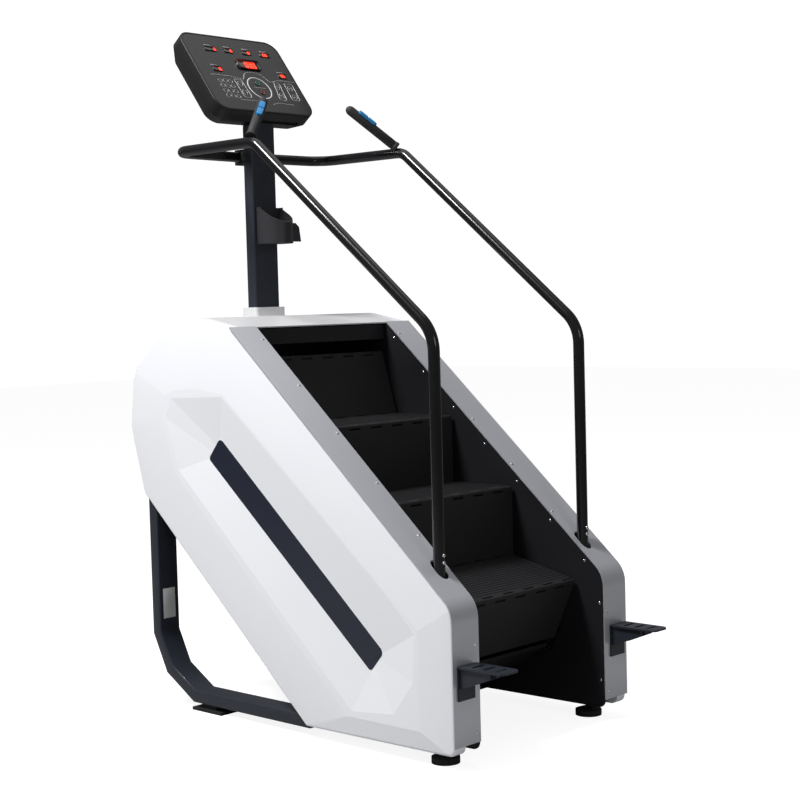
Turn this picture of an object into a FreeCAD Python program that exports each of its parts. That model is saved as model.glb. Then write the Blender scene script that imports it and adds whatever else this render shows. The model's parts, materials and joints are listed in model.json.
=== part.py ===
import FreeCAD, Part
import Sketcher
import math
import os

# Stair climber. X runs across the machine (+X is the climber's right), +Y is the way the climber
# faces and Z is up. Every outline below is drawn from the line through the two front feet, and each
# sub-part's Placement then moves it back so that the origin is on the floor at the middle.

V = FreeCAD.Vector
doc = FreeCAD.newDocument("stair_climber")
sheet = doc.addObject("Spreadsheet::Sheet", "Sizes")

SIZES = [
    ("origin_back", 481.7, "front feet line to the middle of the footprint"),
    ("half_width", 384.5, "outer face of a side cover"),
    ("panel_inner", 274, "stair side of an inner panel"),
    ("panel_gauge", 4, "thickness of an inner panel"),
    ("cover_inner", 332, "inner edge of a side cover's rim"),
    ("cover_wall", 4, "wall of the moulded covers"),
    ("cover_front", -88, "front face of the covers"),
    ("cover_lift", 31, "covers' sloping edge above the line of the step noses"),
    ("trim_gauge", 3, "thickness of the metal trims"),
    ("trim_outer", 378, "outer edge of a trim"),
    ("step_run", 230, "tread, from nose to inner hinge"),
    ("step_rise", 203, "riser, from hinge to nose"),
    ("step_half", 264, "half length of a tread"),
    ("hinge_y", 235, "third inner hinge"),
    ("hinge_z", 448, "third inner hinge"),
    ("lower_run", 165, "third inner hinge to the start of the lower wrap"),
    ("step_count", 8, "steps round the belt"),
    ("links_per_step", 8, "chain links to a step"),
    ("knuckle_radius", 7, "hinge knuckle"),
    ("knuckle_pitch", 44, "one knuckle and its gap"),
    ("plate_back", 3, "step plate behind the hinge line"),
    ("pin_radius", 4, "hinge pin"),
    ("pin_bore", 4.05, "knuckle bore for the pin"),
    ("pin_reach", 291.5, "pin end in the chain"),
    ("chain_inner", 280, "inner face of the chain"),
    ("chain_width", 12, "chain width over its plates"),
    ("link_gauge", 2, "chain side plate"),
    ("roller_radius", 6, "chain roller"),
    ("shaft_radius", 15, "belt shafts"),
    ("frame_inner", 328, "inner face of a frame plate"),
    ("frame_gauge", 6, "thickness of a frame plate"),
    ("tube_wall", 3, "wall of the frame tubes"),
    ("leg_inner", 282, "inner face of a rear leg"),
    ("leg_width", 76, "width of a rear leg"),
    ("leg_gauge", 36, "depth of a rear leg"),
    ("rail_x", 310, "handrail from the middle"),
    ("rail_radius", 16, "handrail tube"),
    ("rail_wall", 2.5, "handrail tube wall"),
    ("hoop_z", 1674, "height of the rear hoop"),
    ("hoop_y", 1058, "crossbar of the hoop behind the mast"),
    ("mast_y", 1000, "centre of the mast"),
    ("mast_width", 100, "mast across"),
    ("mast_depth", 40, "mast front to back"),
    ("mast_top", 1767, "top of the mast"),
    ("console_y", 1041, "centre of the console's face"),
    ("console_z", 1933, "centre of the console's face"),
    ("console_lean", 53, "console face from the horizontal"),
    ("console_width", 405, "console across"),
    ("console_height", 324, "console along its face"),
    ("console_corner", 46, "corner of the console"),
    ("console_side", 45, "straight side wall of the console"),
    ("console_deep", 90, "console front to back"),
    ("grip_radius", 18, "hand grip"),
    ("grip_length", 205, "hand grip"),
    ("foot_radius", 38, "levelling foot"),
    ("peg_z", 275, "top of an entry step"),
    ("peg_reach", 155, "entry step in front of the covers"),
    ("motor_radius", 66, "brake motor"),
    ("pulley_radius", 130, "large pulley on the upper shaft"),
    ("motor_pulley_radius", 32, "pulley on the brake motor"),
    ("belt_gauge", 4, "thickness of the drive belt"),
    ("screw_head", 4.5, "radius of a cover screw's head"),
]
for row, (alias, value, note) in enumerate(SIZES, 1):
    sheet.set("A%d" % row, alias)
    sheet.set("B%d" % row, str(value))
    sheet.setAlias("B%d" % row, alias)
    sheet.set("C%d" % row, note)
doc.recompute()

subparts = []


def size(alias):
    return float(sheet.get(alias))


def placed(obj, label, base=None, rotation=None):
    """Label a piece and place it in the machine's frame."""
    obj.Label = label
    base = base or V(0, 0, 0)
    obj.Placement = FreeCAD.Placement(base - V(0, size("origin_back"), 0), rotation or FreeCAD.Rotation())
    obj.setExpression("Placement.Base.y", "%.6f - Sizes.origin_back" % base.y)
    return obj


def new_body(label, base=None, rotation=None):
    body = placed(doc.addObject("PartDesign::Body", label), label, base, rotation)
    subparts.append(body)
    return body


def new_feature(label, shape):
    """A sub-part whose shape comes from Part's own functions, in the feet-line frame."""
    feature = doc.addObject("Part::Feature", label)
    feature.Shape = shape
    subparts.append(placed(feature, label))
    return feature


def joined(label, kind, members):
    """One sub-part made of several pieces: a Part::Compound, or a Part::MultiFuse if welded."""
    whole = doc.addObject(kind, label)
    if kind == "Part::MultiFuse":
        whole.Shapes = members
    else:
        whole.Links = members
    whole.Label = label
    for member in members:
        member.Label = label + "_" + member.Label
        subparts.remove(member)
    subparts.append(whole)
    return whole


def origin_feature(body, role):
    return next(f for f in body.Origin.OriginFeatures if f.Role == role)


def sketch(body, role, offset=0, bound=None):
    """Sketch on one of the body's own planes, moved along its normal. YZ: x is Y, y is Z."""
    drawing = body.newObject("Sketcher::SketchObject", "Sketch")
    drawing.AttachmentSupport = [(origin_feature(body, role), "")]
    drawing.MapMode = "FlatFace"
    drawing.AttachmentOffset = FreeCAD.Placement(V(0, 0, offset), FreeCAD.Rotation())
    if bound:
        drawing.setExpression("AttachmentOffset.Base.z", bound)
    return drawing


def corner_cut(before, corner, after, radius):
    """Tangent points and centre of the arc that rounds a corner."""
    back = (before - corner).normalize()
    ahead = (after - corner).normalize()
    half = back.getAngle(ahead) / 2
    reach = radius / math.tan(half)
    middle = (back + ahead).normalize() * (radius / math.sin(half)) + corner
    return corner + back * reach, corner + ahead * reach, middle


def edges_of(points, closed=True):
    """Lines and arcs through (a, b, radius) corners."""
    corners = [V(p[0], p[1], 0) for p in points]
    radii = [p[2] if len(p) > 2 else 0 for p in points]
    count = len(corners)
    starts, ends, arcs = [], [], []
    for i, corner in enumerate(corners):
        ended = not closed and i in (0, count - 1)
        if radii[i] and not ended:
            entry, leave, middle = corner_cut(corners[i - 1], corner, corners[(i + 1) % count], radii[i])
            a0 = math.atan2(entry.y - middle.y, entry.x - middle.x)
            a1 = math.atan2(leave.y - middle.y, leave.x - middle.x)
            turn = (a1 - a0 + math.pi) % (2 * math.pi) - math.pi
            low, high = (a0, a0 + turn) if turn > 0 else (a0 + turn, a0)
            circle = Part.Circle(middle, V(0, 0, 1), radii[i])
            arcs.append(Part.ArcOfCircle(circle, low, high))
        else:
            entry = leave = corner
        ends.append(entry)
        starts.append(leave)
    lines = []
    for i in range(count if closed else count - 1):
        begin, finish = starts[i], ends[(i + 1) % count]
        if (finish - begin).Length > 1e-6:
            lines.append(Part.LineSegment(begin, finish))
    return lines + arcs


def draw(drawing, points, closed=True):
    for edge in edges_of(points, closed):
        drawing.addGeometry(edge, False)


def rectangle(a0, b0, a1, b1, radius=0):
    return [(a0, b0, radius), (a1, b0, radius), (a1, b1, radius), (a0, b1, radius)]


def circle(drawing, a, b, radius, bound=None):
    index = drawing.addGeometry(Part.Circle(V(a, b, 0), V(0, 0, 1), radius), False)
    if bound:
        hold = drawing.addConstraint(Sketcher.Constraint("Radius", index, radius))
        drawing.setExpression("Constraints[%d]" % hold, bound)


def pad(body, drawing, length, name="Pad"):
    feature = body.newObject("PartDesign::Pad", name)
    feature.Profile = drawing
    set_or_bind(feature, "Length", length)
    body.Tip = feature
    return feature


def set_or_bind(feature, prop, value):
    """A text is an expression on the sheet; a number is set as it is."""
    if isinstance(value, str):
        feature.setExpression(prop, value)
    else:
        setattr(feature, prop, value)


def pocket(body, drawing, length, reverse=True, name="Pocket"):
    """Cut along the sketch's normal when reverse is true, against it when false."""
    feature = body.newObject("PartDesign::Pocket", name)
    feature.Profile = drawing
    set_or_bind(feature, "Length", length)
    feature.Reversed = reverse
    body.Tip = feature
    return feature


def row_of(body, original, role, length, count):
    pattern = body.newObject("PartDesign::LinearPattern", "Row")
    pattern.Originals = [original]
    pattern.Direction = (origin_feature(body, role), [""])
    pattern.Length = length
    pattern.Occurrences = count
    body.Tip = pattern
    return pattern


def ring_of(body, original, role, count):
    pattern = body.newObject("PartDesign::PolarPattern", "Ring")
    pattern.Originals = [original]
    pattern.Axis = (origin_feature(body, role), [""])
    pattern.Angle = 360
    pattern.Occurrences = count
    body.Tip = pattern
    return pattern


def inset(points, distance):
    """Outline moved inwards, for corners listed anticlockwise. Rounded corners keep their centres."""
    moved = []
    count = len(points)
    for i, (a, b, radius) in enumerate(points):
        before, after = points[i - 1], points[(i + 1) % count]
        d0 = V(a - before[0], b - before[1], 0).normalize()
        d1 = V(after[0] - a, after[1] - b, 0).normalize()
        n0, n1 = V(-d0.y, d0.x, 0), V(-d1.y, d1.x, 0)
        shift = (n0 + n1) * (distance / (1 + n0.dot(n1)))
        convex = d0.cross(d1).z > 0
        left = radius - distance if convex else radius + distance
        moved.append((a + shift.x, b + shift.y, max(left, 0) if radius else 0))
    return moved


# --- The belt of steps -----------------------------------------------------------------------
# Treads and risers are hinged into a loop. Their inner hinges ride a chain with two straight runs,
# each three steps long, and a wrap of one step round each shaft. Hinges are numbered downwards.

run, rise = size("step_run"), size("step_rise")
pitch = math.hypot(run, rise)
slope = math.atan2(rise, run)
wrap_radius = pitch * size("step_count") / 8 / math.pi
straight = 3 * pitch
up_slope = V(0, math.cos(slope), math.sin(slope))
under = V(0, math.sin(slope), -math.cos(slope))
third_hinge = V(0, size("hinge_y"), size("hinge_z"))
lower_start = third_hinge - up_slope * size("lower_run")
lower_centre = lower_start + under * wrap_radius
upper_centre = lower_centre + up_slope * straight
upper_start = upper_centre - under * wrap_radius
first_gap = straight - size("lower_run") - 2 * pitch


def along_chain(distance):
    """Point at a distance down the climbing run from the upper wrap, and on round the loop."""
    distance %= size("step_count") * pitch
    if distance < straight:
        return upper_start - up_slope * distance
    distance -= straight
    wrap = math.pi * wrap_radius
    if distance < wrap:
        turn = distance / wrap_radius
        along, across = wrap_radius * math.sin(turn), wrap_radius * math.cos(turn)
        return lower_centre - under * across - up_slope * along
    distance -= wrap
    if distance < straight:
        return lower_centre + under * wrap_radius + up_slope * distance
    turn = (distance - straight) / wrap_radius
    return upper_centre + under * (wrap_radius * math.cos(turn)) + up_slope * (wrap_radius * math.sin(turn))


def inner_hinge(number):
    return along_chain(first_gap + (number - 1) * pitch)


def nose_hinge(number):
    """Outer hinge between a tread and the riser below it: a triangle on two inner hinges."""
    top, bottom = inner_hinge(number), inner_hinge(number + 1)
    base = (bottom - top).Length
    along = (run ** 2 + base ** 2 - rise ** 2) / (2 * base)
    out = math.sqrt(run ** 2 - along ** 2)
    ahead = (bottom - top).normalize()
    outward = ahead.cross(V(1, 0, 0))
    return top + ahead * along + outward * out


def angle_of(vector):
    return math.degrees(math.atan2(vector.z, vector.y))


def knuckle(at, towards):
    """Outline of one hinge knuckle whose arm reaches into the plate."""
    radius, back = size("knuckle_radius"), size("plate_back")
    low = math.asin(back / radius)
    arm = 9.5 * towards
    drop = math.sqrt(radius ** 2 - back ** 2)
    top, bottom = V(at, radius, 0), V(at + drop * towards, -back, 0)
    far_top, far_bottom = V(at + arm, radius, 0), V(at + arm, -back, 0)
    middle = Part.Circle(V(at, 0, 0), V(0, 0, 1), radius)
    if towards > 0:
        arc = Part.ArcOfCircle(middle, math.pi / 2, 2 * math.pi - low)
    else:
        arc = Part.ArcOfCircle(middle, math.pi + low, 2 * math.pi + math.pi / 2)
    lines = [Part.LineSegment(top, far_top), Part.LineSegment(far_top, far_bottom)]
    return [arc] + lines + [Part.LineSegment(far_bottom, bottom)]


def step_panel(label, start, finish, odd, open_start=False, open_finish=False):
    """A tread or riser from one hinge line to the next. A riser carries the pins."""
    length = (finish - start).Length
    turn = FreeCAD.Rotation(V(1, 0, 0), angle_of(finish - start))
    body = new_body(label, start, turn)
    half, share = size("step_half"), size("knuckle_pitch")
    gap = 8.5
    ends = [gap + (10 if open_start else 0), length - gap - (10 if open_finish else 0)]
    plate = sketch(body, "YZ_Plane", -half, "-Sizes.step_half")
    draw(plate, rectangle(ends[0], -size("plate_back"), ends[1], size("knuckle_radius")))
    pad(body, plate, "2 * Sizes.step_half", "Plate")
    count = int(round(half / share))
    hinges = [(at, way) for at, way, free in ((0, 1, open_start), (length, -1, open_finish)) if not free]
    if hinges:
        side = 0.3
        knuckles = sketch(body, "YZ_Plane", -half + side + (share if odd else 0))
        for at, way in hinges:
            for edge in knuckle(at, way):
                knuckles.addGeometry(edge, False)
        first = pad(body, knuckles, share - 2 * side, "Knuckle")
        row_of(body, first, "X_Axis", 2 * share * (count - 1), count)
    if odd:
        for at, way in hinges:
            reach = size("pin_reach") if at == 0 else half
            pin = sketch(body, "YZ_Plane", -reach)
            circle(pin, at, 0, size("pin_radius"), "Sizes.pin_radius")
            pad(body, pin, 2 * reach, "Pin")
    else:
        bores = sketch(body, "YZ_Plane", -half - 1)
        for at, way in hinges:
            circle(bores, at, 0, size("pin_bore"), "Sizes.pin_bore")
        pocket(body, bores, 2 * half + 2, True, "Bores")
    return body


def tread(number, open_finish=False):
    return step_panel("tread_%d" % number, nose_hinge(number), inner_hinge(number), False, False, open_finish)


def riser(number, open_start=False):
    bottom = inner_hinge(number + 1)
    return step_panel("riser_%d" % number, bottom, nose_hinge(number), True, open_start, False)


treads = [tread(number, open_finish=number in (4, 8)) for number in range(1, 9)]
risers = [riser(number, open_start=number in (3, 7)) for number in range(1, 9)]
joined("return_treads", "Part::Compound", treads[4:6])
joined("return_risers", "Part::Compound", risers[4:6])


# --- Chains, sprockets and shafts ------------------------------------------------------------

link = pitch / size("links_per_step")


def roller_at(point, side):
    x = side * (size("chain_inner") + size("link_gauge"))
    width = size("chain_width") - 2 * size("link_gauge")
    return Part.makeCylinder(size("roller_radius"), width, V(x, point.y, point.z), V(side, 0, 0))


def pin_bore_at(point, side):
    """Hole along a roller for the hinge pin that ends in it."""
    x, width = side * (size("chain_inner") - 1), size("chain_width") + 2
    return Part.makeCylinder(size("pin_radius") + 0.25, width, V(x, point.y, point.z), V(side, 0, 0))


def link_plates(first, last, side):
    """The two side plates that join one roller to the next."""
    plates = []
    ahead = (last - first).normalize()
    across = V(1, 0, 0).cross(ahead) * 7
    for x in (size("chain_inner"), size("chain_inner") + size("chain_width") - size("link_gauge")):
        corners = [first + across, last + across, last - across, first - across]
        outline = Part.makePolygon([c + V(side * x, 0, 0) for c in corners + corners[:1]])
        plates.append(Part.Face(outline).extrude(V(side * size("link_gauge"), 0, 0)))
        for end in (first, last):
            plates.append(Part.makeCylinder(7, size("link_gauge"), V(side * x, end.y, end.z), V(side, 0, 0)))
    return plates


def chain_piece(label, begin, links):
    """A stretch of both chains: rollers at every link, joined by their side plates."""
    stretches = []
    for side in (-1, 1):
        points = [along_chain(begin + i * link) for i in range(links + 1)]
        solids = [roller_at(point, side) for point in points]
        for first, last in zip(points, points[1:]):
            solids += link_plates(first, last, side)
        whole = solids[0].multiFuse(solids[1:]).cut([pin_bore_at(point, side) for point in points])
        stretches.append(whole.removeSplitter())
    return new_feature(label, Part.makeCompound(stretches))


links_round = int(size("links_per_step") * size("step_count"))
rollers_before = int(first_gap / link)
climb_start = first_gap - rollers_before * link
links_straight = int((straight - climb_start) / link)
chain_piece("chain_climbing_run", climb_start, links_straight)
wrap_links = links_round // 2 - links_straight - 2
chain_piece("chain_lower_wrap", climb_start + (links_straight + 1) * link, wrap_links)
chain_piece("chain_return_run", climb_start + (links_round // 2) * link, links_straight)
chain_piece("chain_upper_wrap", climb_start + (links_round // 2 + links_straight + 1) * link, wrap_links)


def sprockets(label, centre, first_roller):
    """A pair of toothed wheels whose seats meet the chain's rollers."""
    spoke = along_chain(first_roller) - centre
    turn = FreeCAD.Rotation(V(1, 0, 0), angle_of(spoke))
    body = new_body(label, centre, turn)
    inner = size("chain_inner") + size("link_gauge") + 0.5
    width = size("chain_width") - 2 * size("link_gauge") - 1
    teeth = int(size("links_per_step") * size("step_count") / 4)
    for start in (-inner - width, inner):
        disc = sketch(body, "YZ_Plane", start)
        circle(disc, 0, 0, wrap_radius + 1)
        circle(disc, 0, 0, size("shaft_radius"), "Sizes.shaft_radius")
        pad(body, disc, width, "Disc")
        seat = sketch(body, "YZ_Plane", start - 1)
        circle(seat, wrap_radius, 0, size("roller_radius") + 0.3)
        ring_of(body, pocket(body, seat, width + 2, True, "Seat"), "X_Axis", teeth)
    return body


def shaft(label, centre, right_end):
    body = new_body(label, centre)
    left_end = size("frame_inner") - 2
    core = sketch(body, "YZ_Plane", -left_end)
    circle(core, 0, 0, size("shaft_radius"), "Sizes.shaft_radius")
    pad(body, core, left_end + right_end, "Shaft")
    return body


def sprocket_shaft(label, centre, first_roller, right_end):
    members = [shaft("core", centre, right_end), sprockets("wheels", centre, first_roller)]
    return joined(label, "Part::MultiFuse", members)


lower_roller = climb_start + (links_straight + 1) * link
sprocket_shaft("lower_sprocket_shaft", lower_centre, lower_roller, size("frame_inner") - 2)
upper_roller = lower_roller + links_round // 2 * link
sprocket_shaft("upper_sprocket_shaft", upper_centre, upper_roller, size("frame_inner") + 38)


def bearing(centre, side):
    """Flanged bearing on the inside of a frame plate."""
    face = side * size("frame_inner")
    flange = Part.makeCylinder(46, 8, V(face, centre.y, centre.z), V(-side, 0, 0))
    boss = Part.makeCylinder(32, 26, V(face, centre.y, centre.z), V(-side, 0, 0))
    bore = Part.makeCylinder(size("shaft_radius") + 0.05, 30, V(face, centre.y, centre.z), V(-side, 0, 0))
    return flange.fuse(boss).cut(bore)


bearings = [bearing(centre, side) for centre in (lower_centre, upper_centre) for side in (-1, 1)]
new_feature("shaft_bearings", Part.makeCompound(bearings))

# --- Brake motor and belt drive, inside the belt of steps and behind the right cover -----------

motor_centre = lower_centre + up_slope * 255
pulley_start = size("frame_inner") + size("frame_gauge") + 6
pulley_width = 22

motor = new_body("brake_motor", motor_centre)
case = sketch(motor, "YZ_Plane", 130)
circle(case, 0, 0, size("motor_radius"), "Sizes.motor_radius")
pad(motor, case, "Sizes.frame_inner - 130", "Case")
nose = sketch(motor, "YZ_Plane", 100)
circle(nose, 0, 0, 40)
pad(motor, nose, 31, "EndBell")
spindle_hole = sketch(motor, "YZ_Plane", 200)
circle(spindle_hole, 0, 0, 8.05)
pocket(motor, spindle_hole, 200, True, "SpindleHole")


def pulley(label, centre, radius, bore, hub_start):
    """Flanged flat pulley with a crowned hub."""
    body = new_body(label, centre)
    rim = sketch(body, "YZ_Plane", pulley_start)
    circle(rim, 0, 0, radius)
    pad(body, rim, pulley_width, "Rim")
    for start in (pulley_start - 2, pulley_start + pulley_width):
        flange = sketch(body, "YZ_Plane", start)
        circle(flange, 0, 0, radius + 6)
        pad(body, flange, 2, "Flange")
    if hub_start:
        spindle = sketch(body, "YZ_Plane", hub_start)
        circle(spindle, 0, 0, bore)
        pad(body, spindle, pulley_start - hub_start, "Spindle")
    else:
        hole = sketch(body, "YZ_Plane", pulley_start - 3)
        circle(hole, 0, 0, bore)
        pocket(body, hole, pulley_width + 6, True, "Bore")
    return body


pulley("drive_pulley", upper_centre, size("pulley_radius"), size("shaft_radius"), 0)
pulley("motor_pulley", motor_centre, size("motor_pulley_radius"), 8, 205)


def belt_loop(radius_low, radius_high, length):
    """Stadium round both pulleys, in the plane of the belt."""
    start = V(pulley_start + 0.5, 0, 0)
    low, high = motor_centre + start, upper_centre + start
    lean = math.asin((radius_high - radius_low) / (high - low).Length)
    outline = []
    for side in (1, -1):
        normal = up_slope * -math.sin(lean) + under * (math.cos(lean) * side)
        outline.append((low + normal * radius_low, high + normal * radius_high))
    (low_a, high_a), (low_b, high_b) = outline
    near = low - up_slope * radius_low
    far = high + up_slope * radius_high
    edges = [Part.LineSegment(low_a, high_a).toShape(), Part.Arc(high_a, far, high_b).toShape()]
    edges += [Part.LineSegment(high_b, low_b).toShape(), Part.Arc(low_b, near, low_a).toShape()]
    return Part.Face(Part.Wire(edges)).extrude(V(length, 0, 0))


slack = 0.3
inside_belt = belt_loop(size("motor_pulley_radius") + slack, size("pulley_radius") + slack, pulley_width - 1)
thick = slack + size("belt_gauge")
outside_belt = belt_loop(size("motor_pulley_radius") + thick, size("pulley_radius") + thick, pulley_width - 1)
new_feature("drive_belt", outside_belt.cut(inside_belt))

# --- Moulded covers ---------------------------------------------------------------------------

step_nose = nose_hinge(2) + V(0, -size("knuckle_radius"), size("knuckle_radius"))


def slope_line(y, lift):
    """Height, over a point, of a line parallel to the step noses and lifted square to them."""
    return step_nose.z + (y - step_nose.y) * math.tan(slope) + lift / math.cos(slope)


front = size("cover_front")
header_y = 735
low_front_z = 38
cover_outline = [
    (front, low_front_z, 22),
    (467, 33, 10),
    (1158, 645, 30),
    (1212, 845, 150),
    (1190, 1020, 110),
    (1040, 1148, 70),
    (900, 1180, 150),
    (header_y, slope_line(header_y, size("cover_lift")), 6),
    (front, slope_line(front, size("cover_lift")), 75),
]
inner_outline = inset(cover_outline, size("cover_wall"))
leg_passages = [rectangle(430, 8, 525, 64), rectangle(1116, 560, 1170, 706)]


def side_cover(label, side):
    """Side shell: an outer wall with a rim that turns in, notched where the rear leg passes."""
    body = new_body(label)
    edge, rim = size("half_width"), size("cover_inner")
    wall_start = "-Sizes.half_width" if side < 0 else "Sizes.half_width - Sizes.cover_wall"
    wall = sketch(body, "YZ_Plane", 0, wall_start)
    draw(wall, cover_outline)
    pad(body, wall, "Sizes.cover_wall", "OuterWall")
    rim_start = "-Sizes.half_width" if side < 0 else "Sizes.cover_inner"
    ring = sketch(body, "YZ_Plane", 0, rim_start)
    draw(ring, cover_outline)
    draw(ring, inner_outline)
    pad(body, ring, "Sizes.half_width - Sizes.cover_inner", "Rim")
    notch = sketch(body, "YZ_Plane", -362 if side < 0 else rim - 2)
    for outline in leg_passages:
        draw(notch, outline)
    pocket(body, notch, 32, True, "LegPassages")
    return body


side_cover("left_side_cover", -1)
side_cover("right_side_cover", 1)


def strip(outer, inner_side):
    """Closed outline between an open path and the same path moved inwards."""
    return outer + inner_side[::-1]


def trim(label, side):
    """Metal strip over the sloping edge and front of a side housing, slotted for the handrail."""
    body = new_body(label)
    gauge = size("trim_gauge")
    top_y = header_y - 2
    tangent = math.tan((math.pi / 2 - slope) / 2) * gauge
    outer = [
        (top_y, slope_line(top_y, size("cover_lift") + gauge)),
        (front - gauge, slope_line(front, size("cover_lift")) + tangent, 78),
        (front - gauge, low_front_z + 24),
    ]
    inner_path = [
        (top_y, slope_line(top_y, size("cover_lift"))),
        (front, slope_line(front, size("cover_lift")), 75),
        (front, low_front_z + 24),
    ]
    start = "-Sizes.trim_outer" if side < 0 else "Sizes.panel_inner"
    profile = sketch(body, "YZ_Plane", 0, start)
    draw(profile, strip(outer, inner_path))
    pad(body, profile, "Sizes.trim_outer - Sizes.panel_inner", "Strip")
    slot = sketch(body, "XY_Plane", 440)
    x, half = side * size("rail_x"), size("rail_radius") + 1.5
    draw(slot, rectangle(x - half, 7 - half - 8, x + half, 7 + half + 8, half - 0.1))
    pocket(body, slot, 200, True, "RailSlot")
    return body


trim("left_trim", -1)
trim("right_trim", 1)


def stadium(radius):
    """Outline of the chain's loop at a distance from its centre line."""
    low, high = lower_centre, upper_centre
    out = under * radius
    back = up_slope * radius

    def flat(point):
        return V(point.y, point.z, 0)

    edges = [Part.LineSegment(flat(low + out), flat(high + out))]
    edges.append(Part.Arc(flat(high + out), flat(high + back), flat(high - out)))
    edges.append(Part.LineSegment(flat(high - out), flat(low - out)))
    edges.append(Part.Arc(flat(low - out), flat(low - back), flat(low + out)))
    return edges


under_edge = inset(cover_outline, 0.3)
under_wall = inset(cover_outline, size("cover_wall") + 0.3)
panel_top_rear = 706
share_up = (panel_top_rear - under_wall[2][1]) / (under_wall[3][1] - under_wall[2][1])
panel_rear = under_wall[2][0] + share_up * (under_wall[3][0] - under_wall[2][0]) - 0.3
panel_bottom = [under_edge[0], (350, 34, 0), (1120, panel_top_rear, 0), (panel_rear, panel_top_rear, 0)]
panel_outline = panel_bottom + under_wall[3:8] + [under_edge[8]]
frame_tubes = [(375, 64, 425, 104), (1062, 840, 1102, 880), (970, 1050, 1030, 1085)]
stand_tube = (1122, 762, 1158, 802)


def inner_panel(label, side):
    """Flat panel beside the steps, open along the chain so that the hinge pins can pass."""
    body = new_body(label)
    start = "-Sizes.panel_inner - Sizes.panel_gauge" if side < 0 else "Sizes.panel_inner"
    profile = sketch(body, "YZ_Plane", 0, start)
    draw(profile, panel_outline)
    pad(body, profile, "Sizes.panel_gauge", "Panel")
    opening = sketch(body, "YZ_Plane", side * size("panel_inner") - 8)
    for edge in stadium(wrap_radius + 9):
        opening.addGeometry(edge, False)
    pocket(body, opening, 16, True, "ChainOpening")
    passages = sketch(body, "YZ_Plane", side * size("panel_inner") - 8)
    for y0, z0, y1, z1 in frame_tubes + [stand_tube]:
        draw(passages, rectangle(y0 - 0.5, z0 - 0.5, y1 + 0.5, z1 + 0.5))
    pocket(body, passages, 16, True, "TubePassages")
    return body


inner_panel("left_inner_panel", -1)
inner_panel("right_inner_panel", 1)


def wall_between(label, first, last, extra=None):
    """Cover wall across the machine, along part of the covers' outline."""
    body = new_body(label)
    outer = [cover_outline[i % len(cover_outline)] for i in range(first, last + 1)]
    inner_path = [inner_outline[i % len(inner_outline)] for i in range(first, last + 1)]
    if extra:
        outer, inner_path = extra(outer, inner_path)
    profile = sketch(body, "YZ_Plane", 0, "-Sizes.cover_inner")
    draw(profile, strip(outer, inner_path))
    pad(body, profile, "2 * Sizes.cover_inner", "Wall")
    return body


def blunt(points):
    """Drop the rounding of a path's two ends."""
    return [points[0][:2]] + list(points[1:-1]) + [points[-1][:2]]


top_cover = wall_between("top_cover", 4, 7, lambda a, b: (blunt(a), blunt(b)))
collar_hole = sketch(top_cover, "XY_Plane", 1100)
collar_x, collar_y = 64, 34
mast_y = size("mast_y")
draw(collar_hole, rectangle(-collar_x, mast_y - collar_y, collar_x, mast_y + collar_y, 14))
pocket(top_cover, collar_hole, 200, True, "CollarHole")


def rear_path(outer, inner_path):
    """Rear wall from just above the legs' passage to below the top cover."""
    low = 708
    share = (low - outer[0][1]) / (outer[1][1] - outer[0][1])
    moved = []
    for path in (outer, inner_path):
        y = path[0][0] + (path[1][0] - path[0][0]) * share
        seam = path[2]
        moved.append([(y, low), path[1], (seam[0], seam[1])])
    return moved


wall_between("rear_cover", 2, 4, rear_path)


def belly_path(outer, inner_path):
    """Under pan from behind the lowest step up to the rear legs."""
    rise_share = (1100 - outer[0][0]) / (outer[1][0] - outer[0][0])
    moved = []
    for path in (outer, inner_path):
        y = path[0][0] + (path[1][0] - path[0][0]) * rise_share
        z = path[0][1] + (path[1][1] - path[0][1]) * rise_share
        lip = (360, path[0][1] - 2)
        moved.append([lip, (path[0][0], path[0][1], 10), (y, z)])
    return moved


belly_pan = wall_between("belly_pan", 1, 2, belly_path)
for passage_x in (-size("cover_inner") - 2, 278):
    gap = sketch(belly_pan, "YZ_Plane", passage_x)
    draw(gap, rectangle(430, 8, 525, 90))
    pocket(belly_pan, gap, 56, True, "LegPassage")

header = new_body("header_panel")
face = sketch(header, "YZ_Plane", -size("panel_inner") + 1)
header_top = slope_line(header_y, size("cover_lift")) - 7
draw(face, rectangle(header_y + 9, header_top - 46, header_y + 13, header_top))
pad(header, face, 2 * size("panel_inner") - 2, "Panel")
lip = sketch(header, "YZ_Plane", -size("panel_inner") + 1)
draw(lip, rectangle(header_y + 9, header_top - 46, header_y + 40, header_top - 42))
pad(header, lip, 2 * size("panel_inner") - 2, "Lip")

collar = new_body("mast_collar")
ring = sketch(collar, "XY_Plane", 1140)
draw(ring, rectangle(-collar_x, mast_y - collar_y, collar_x, mast_y + collar_y, 14))
mast_half_x, mast_half_y = size("mast_width") / 2, size("mast_depth") / 2
draw(ring, rectangle(-mast_half_x, mast_y - mast_half_y, mast_half_x, mast_y + mast_half_y, 6))
pad(collar, ring, 64, "Ring")

# --- Frame ------------------------------------------------------------------------------------

frame_outline = [
    (-40, 62, 10),
    (440, 62, 10),
    (1095, 642, 20),
    (1112, 980, 60),
    (990, 1090, 60),
    (770, 1100, 20),
    (-40, slope_line(-40, -34), 30),
]


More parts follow.
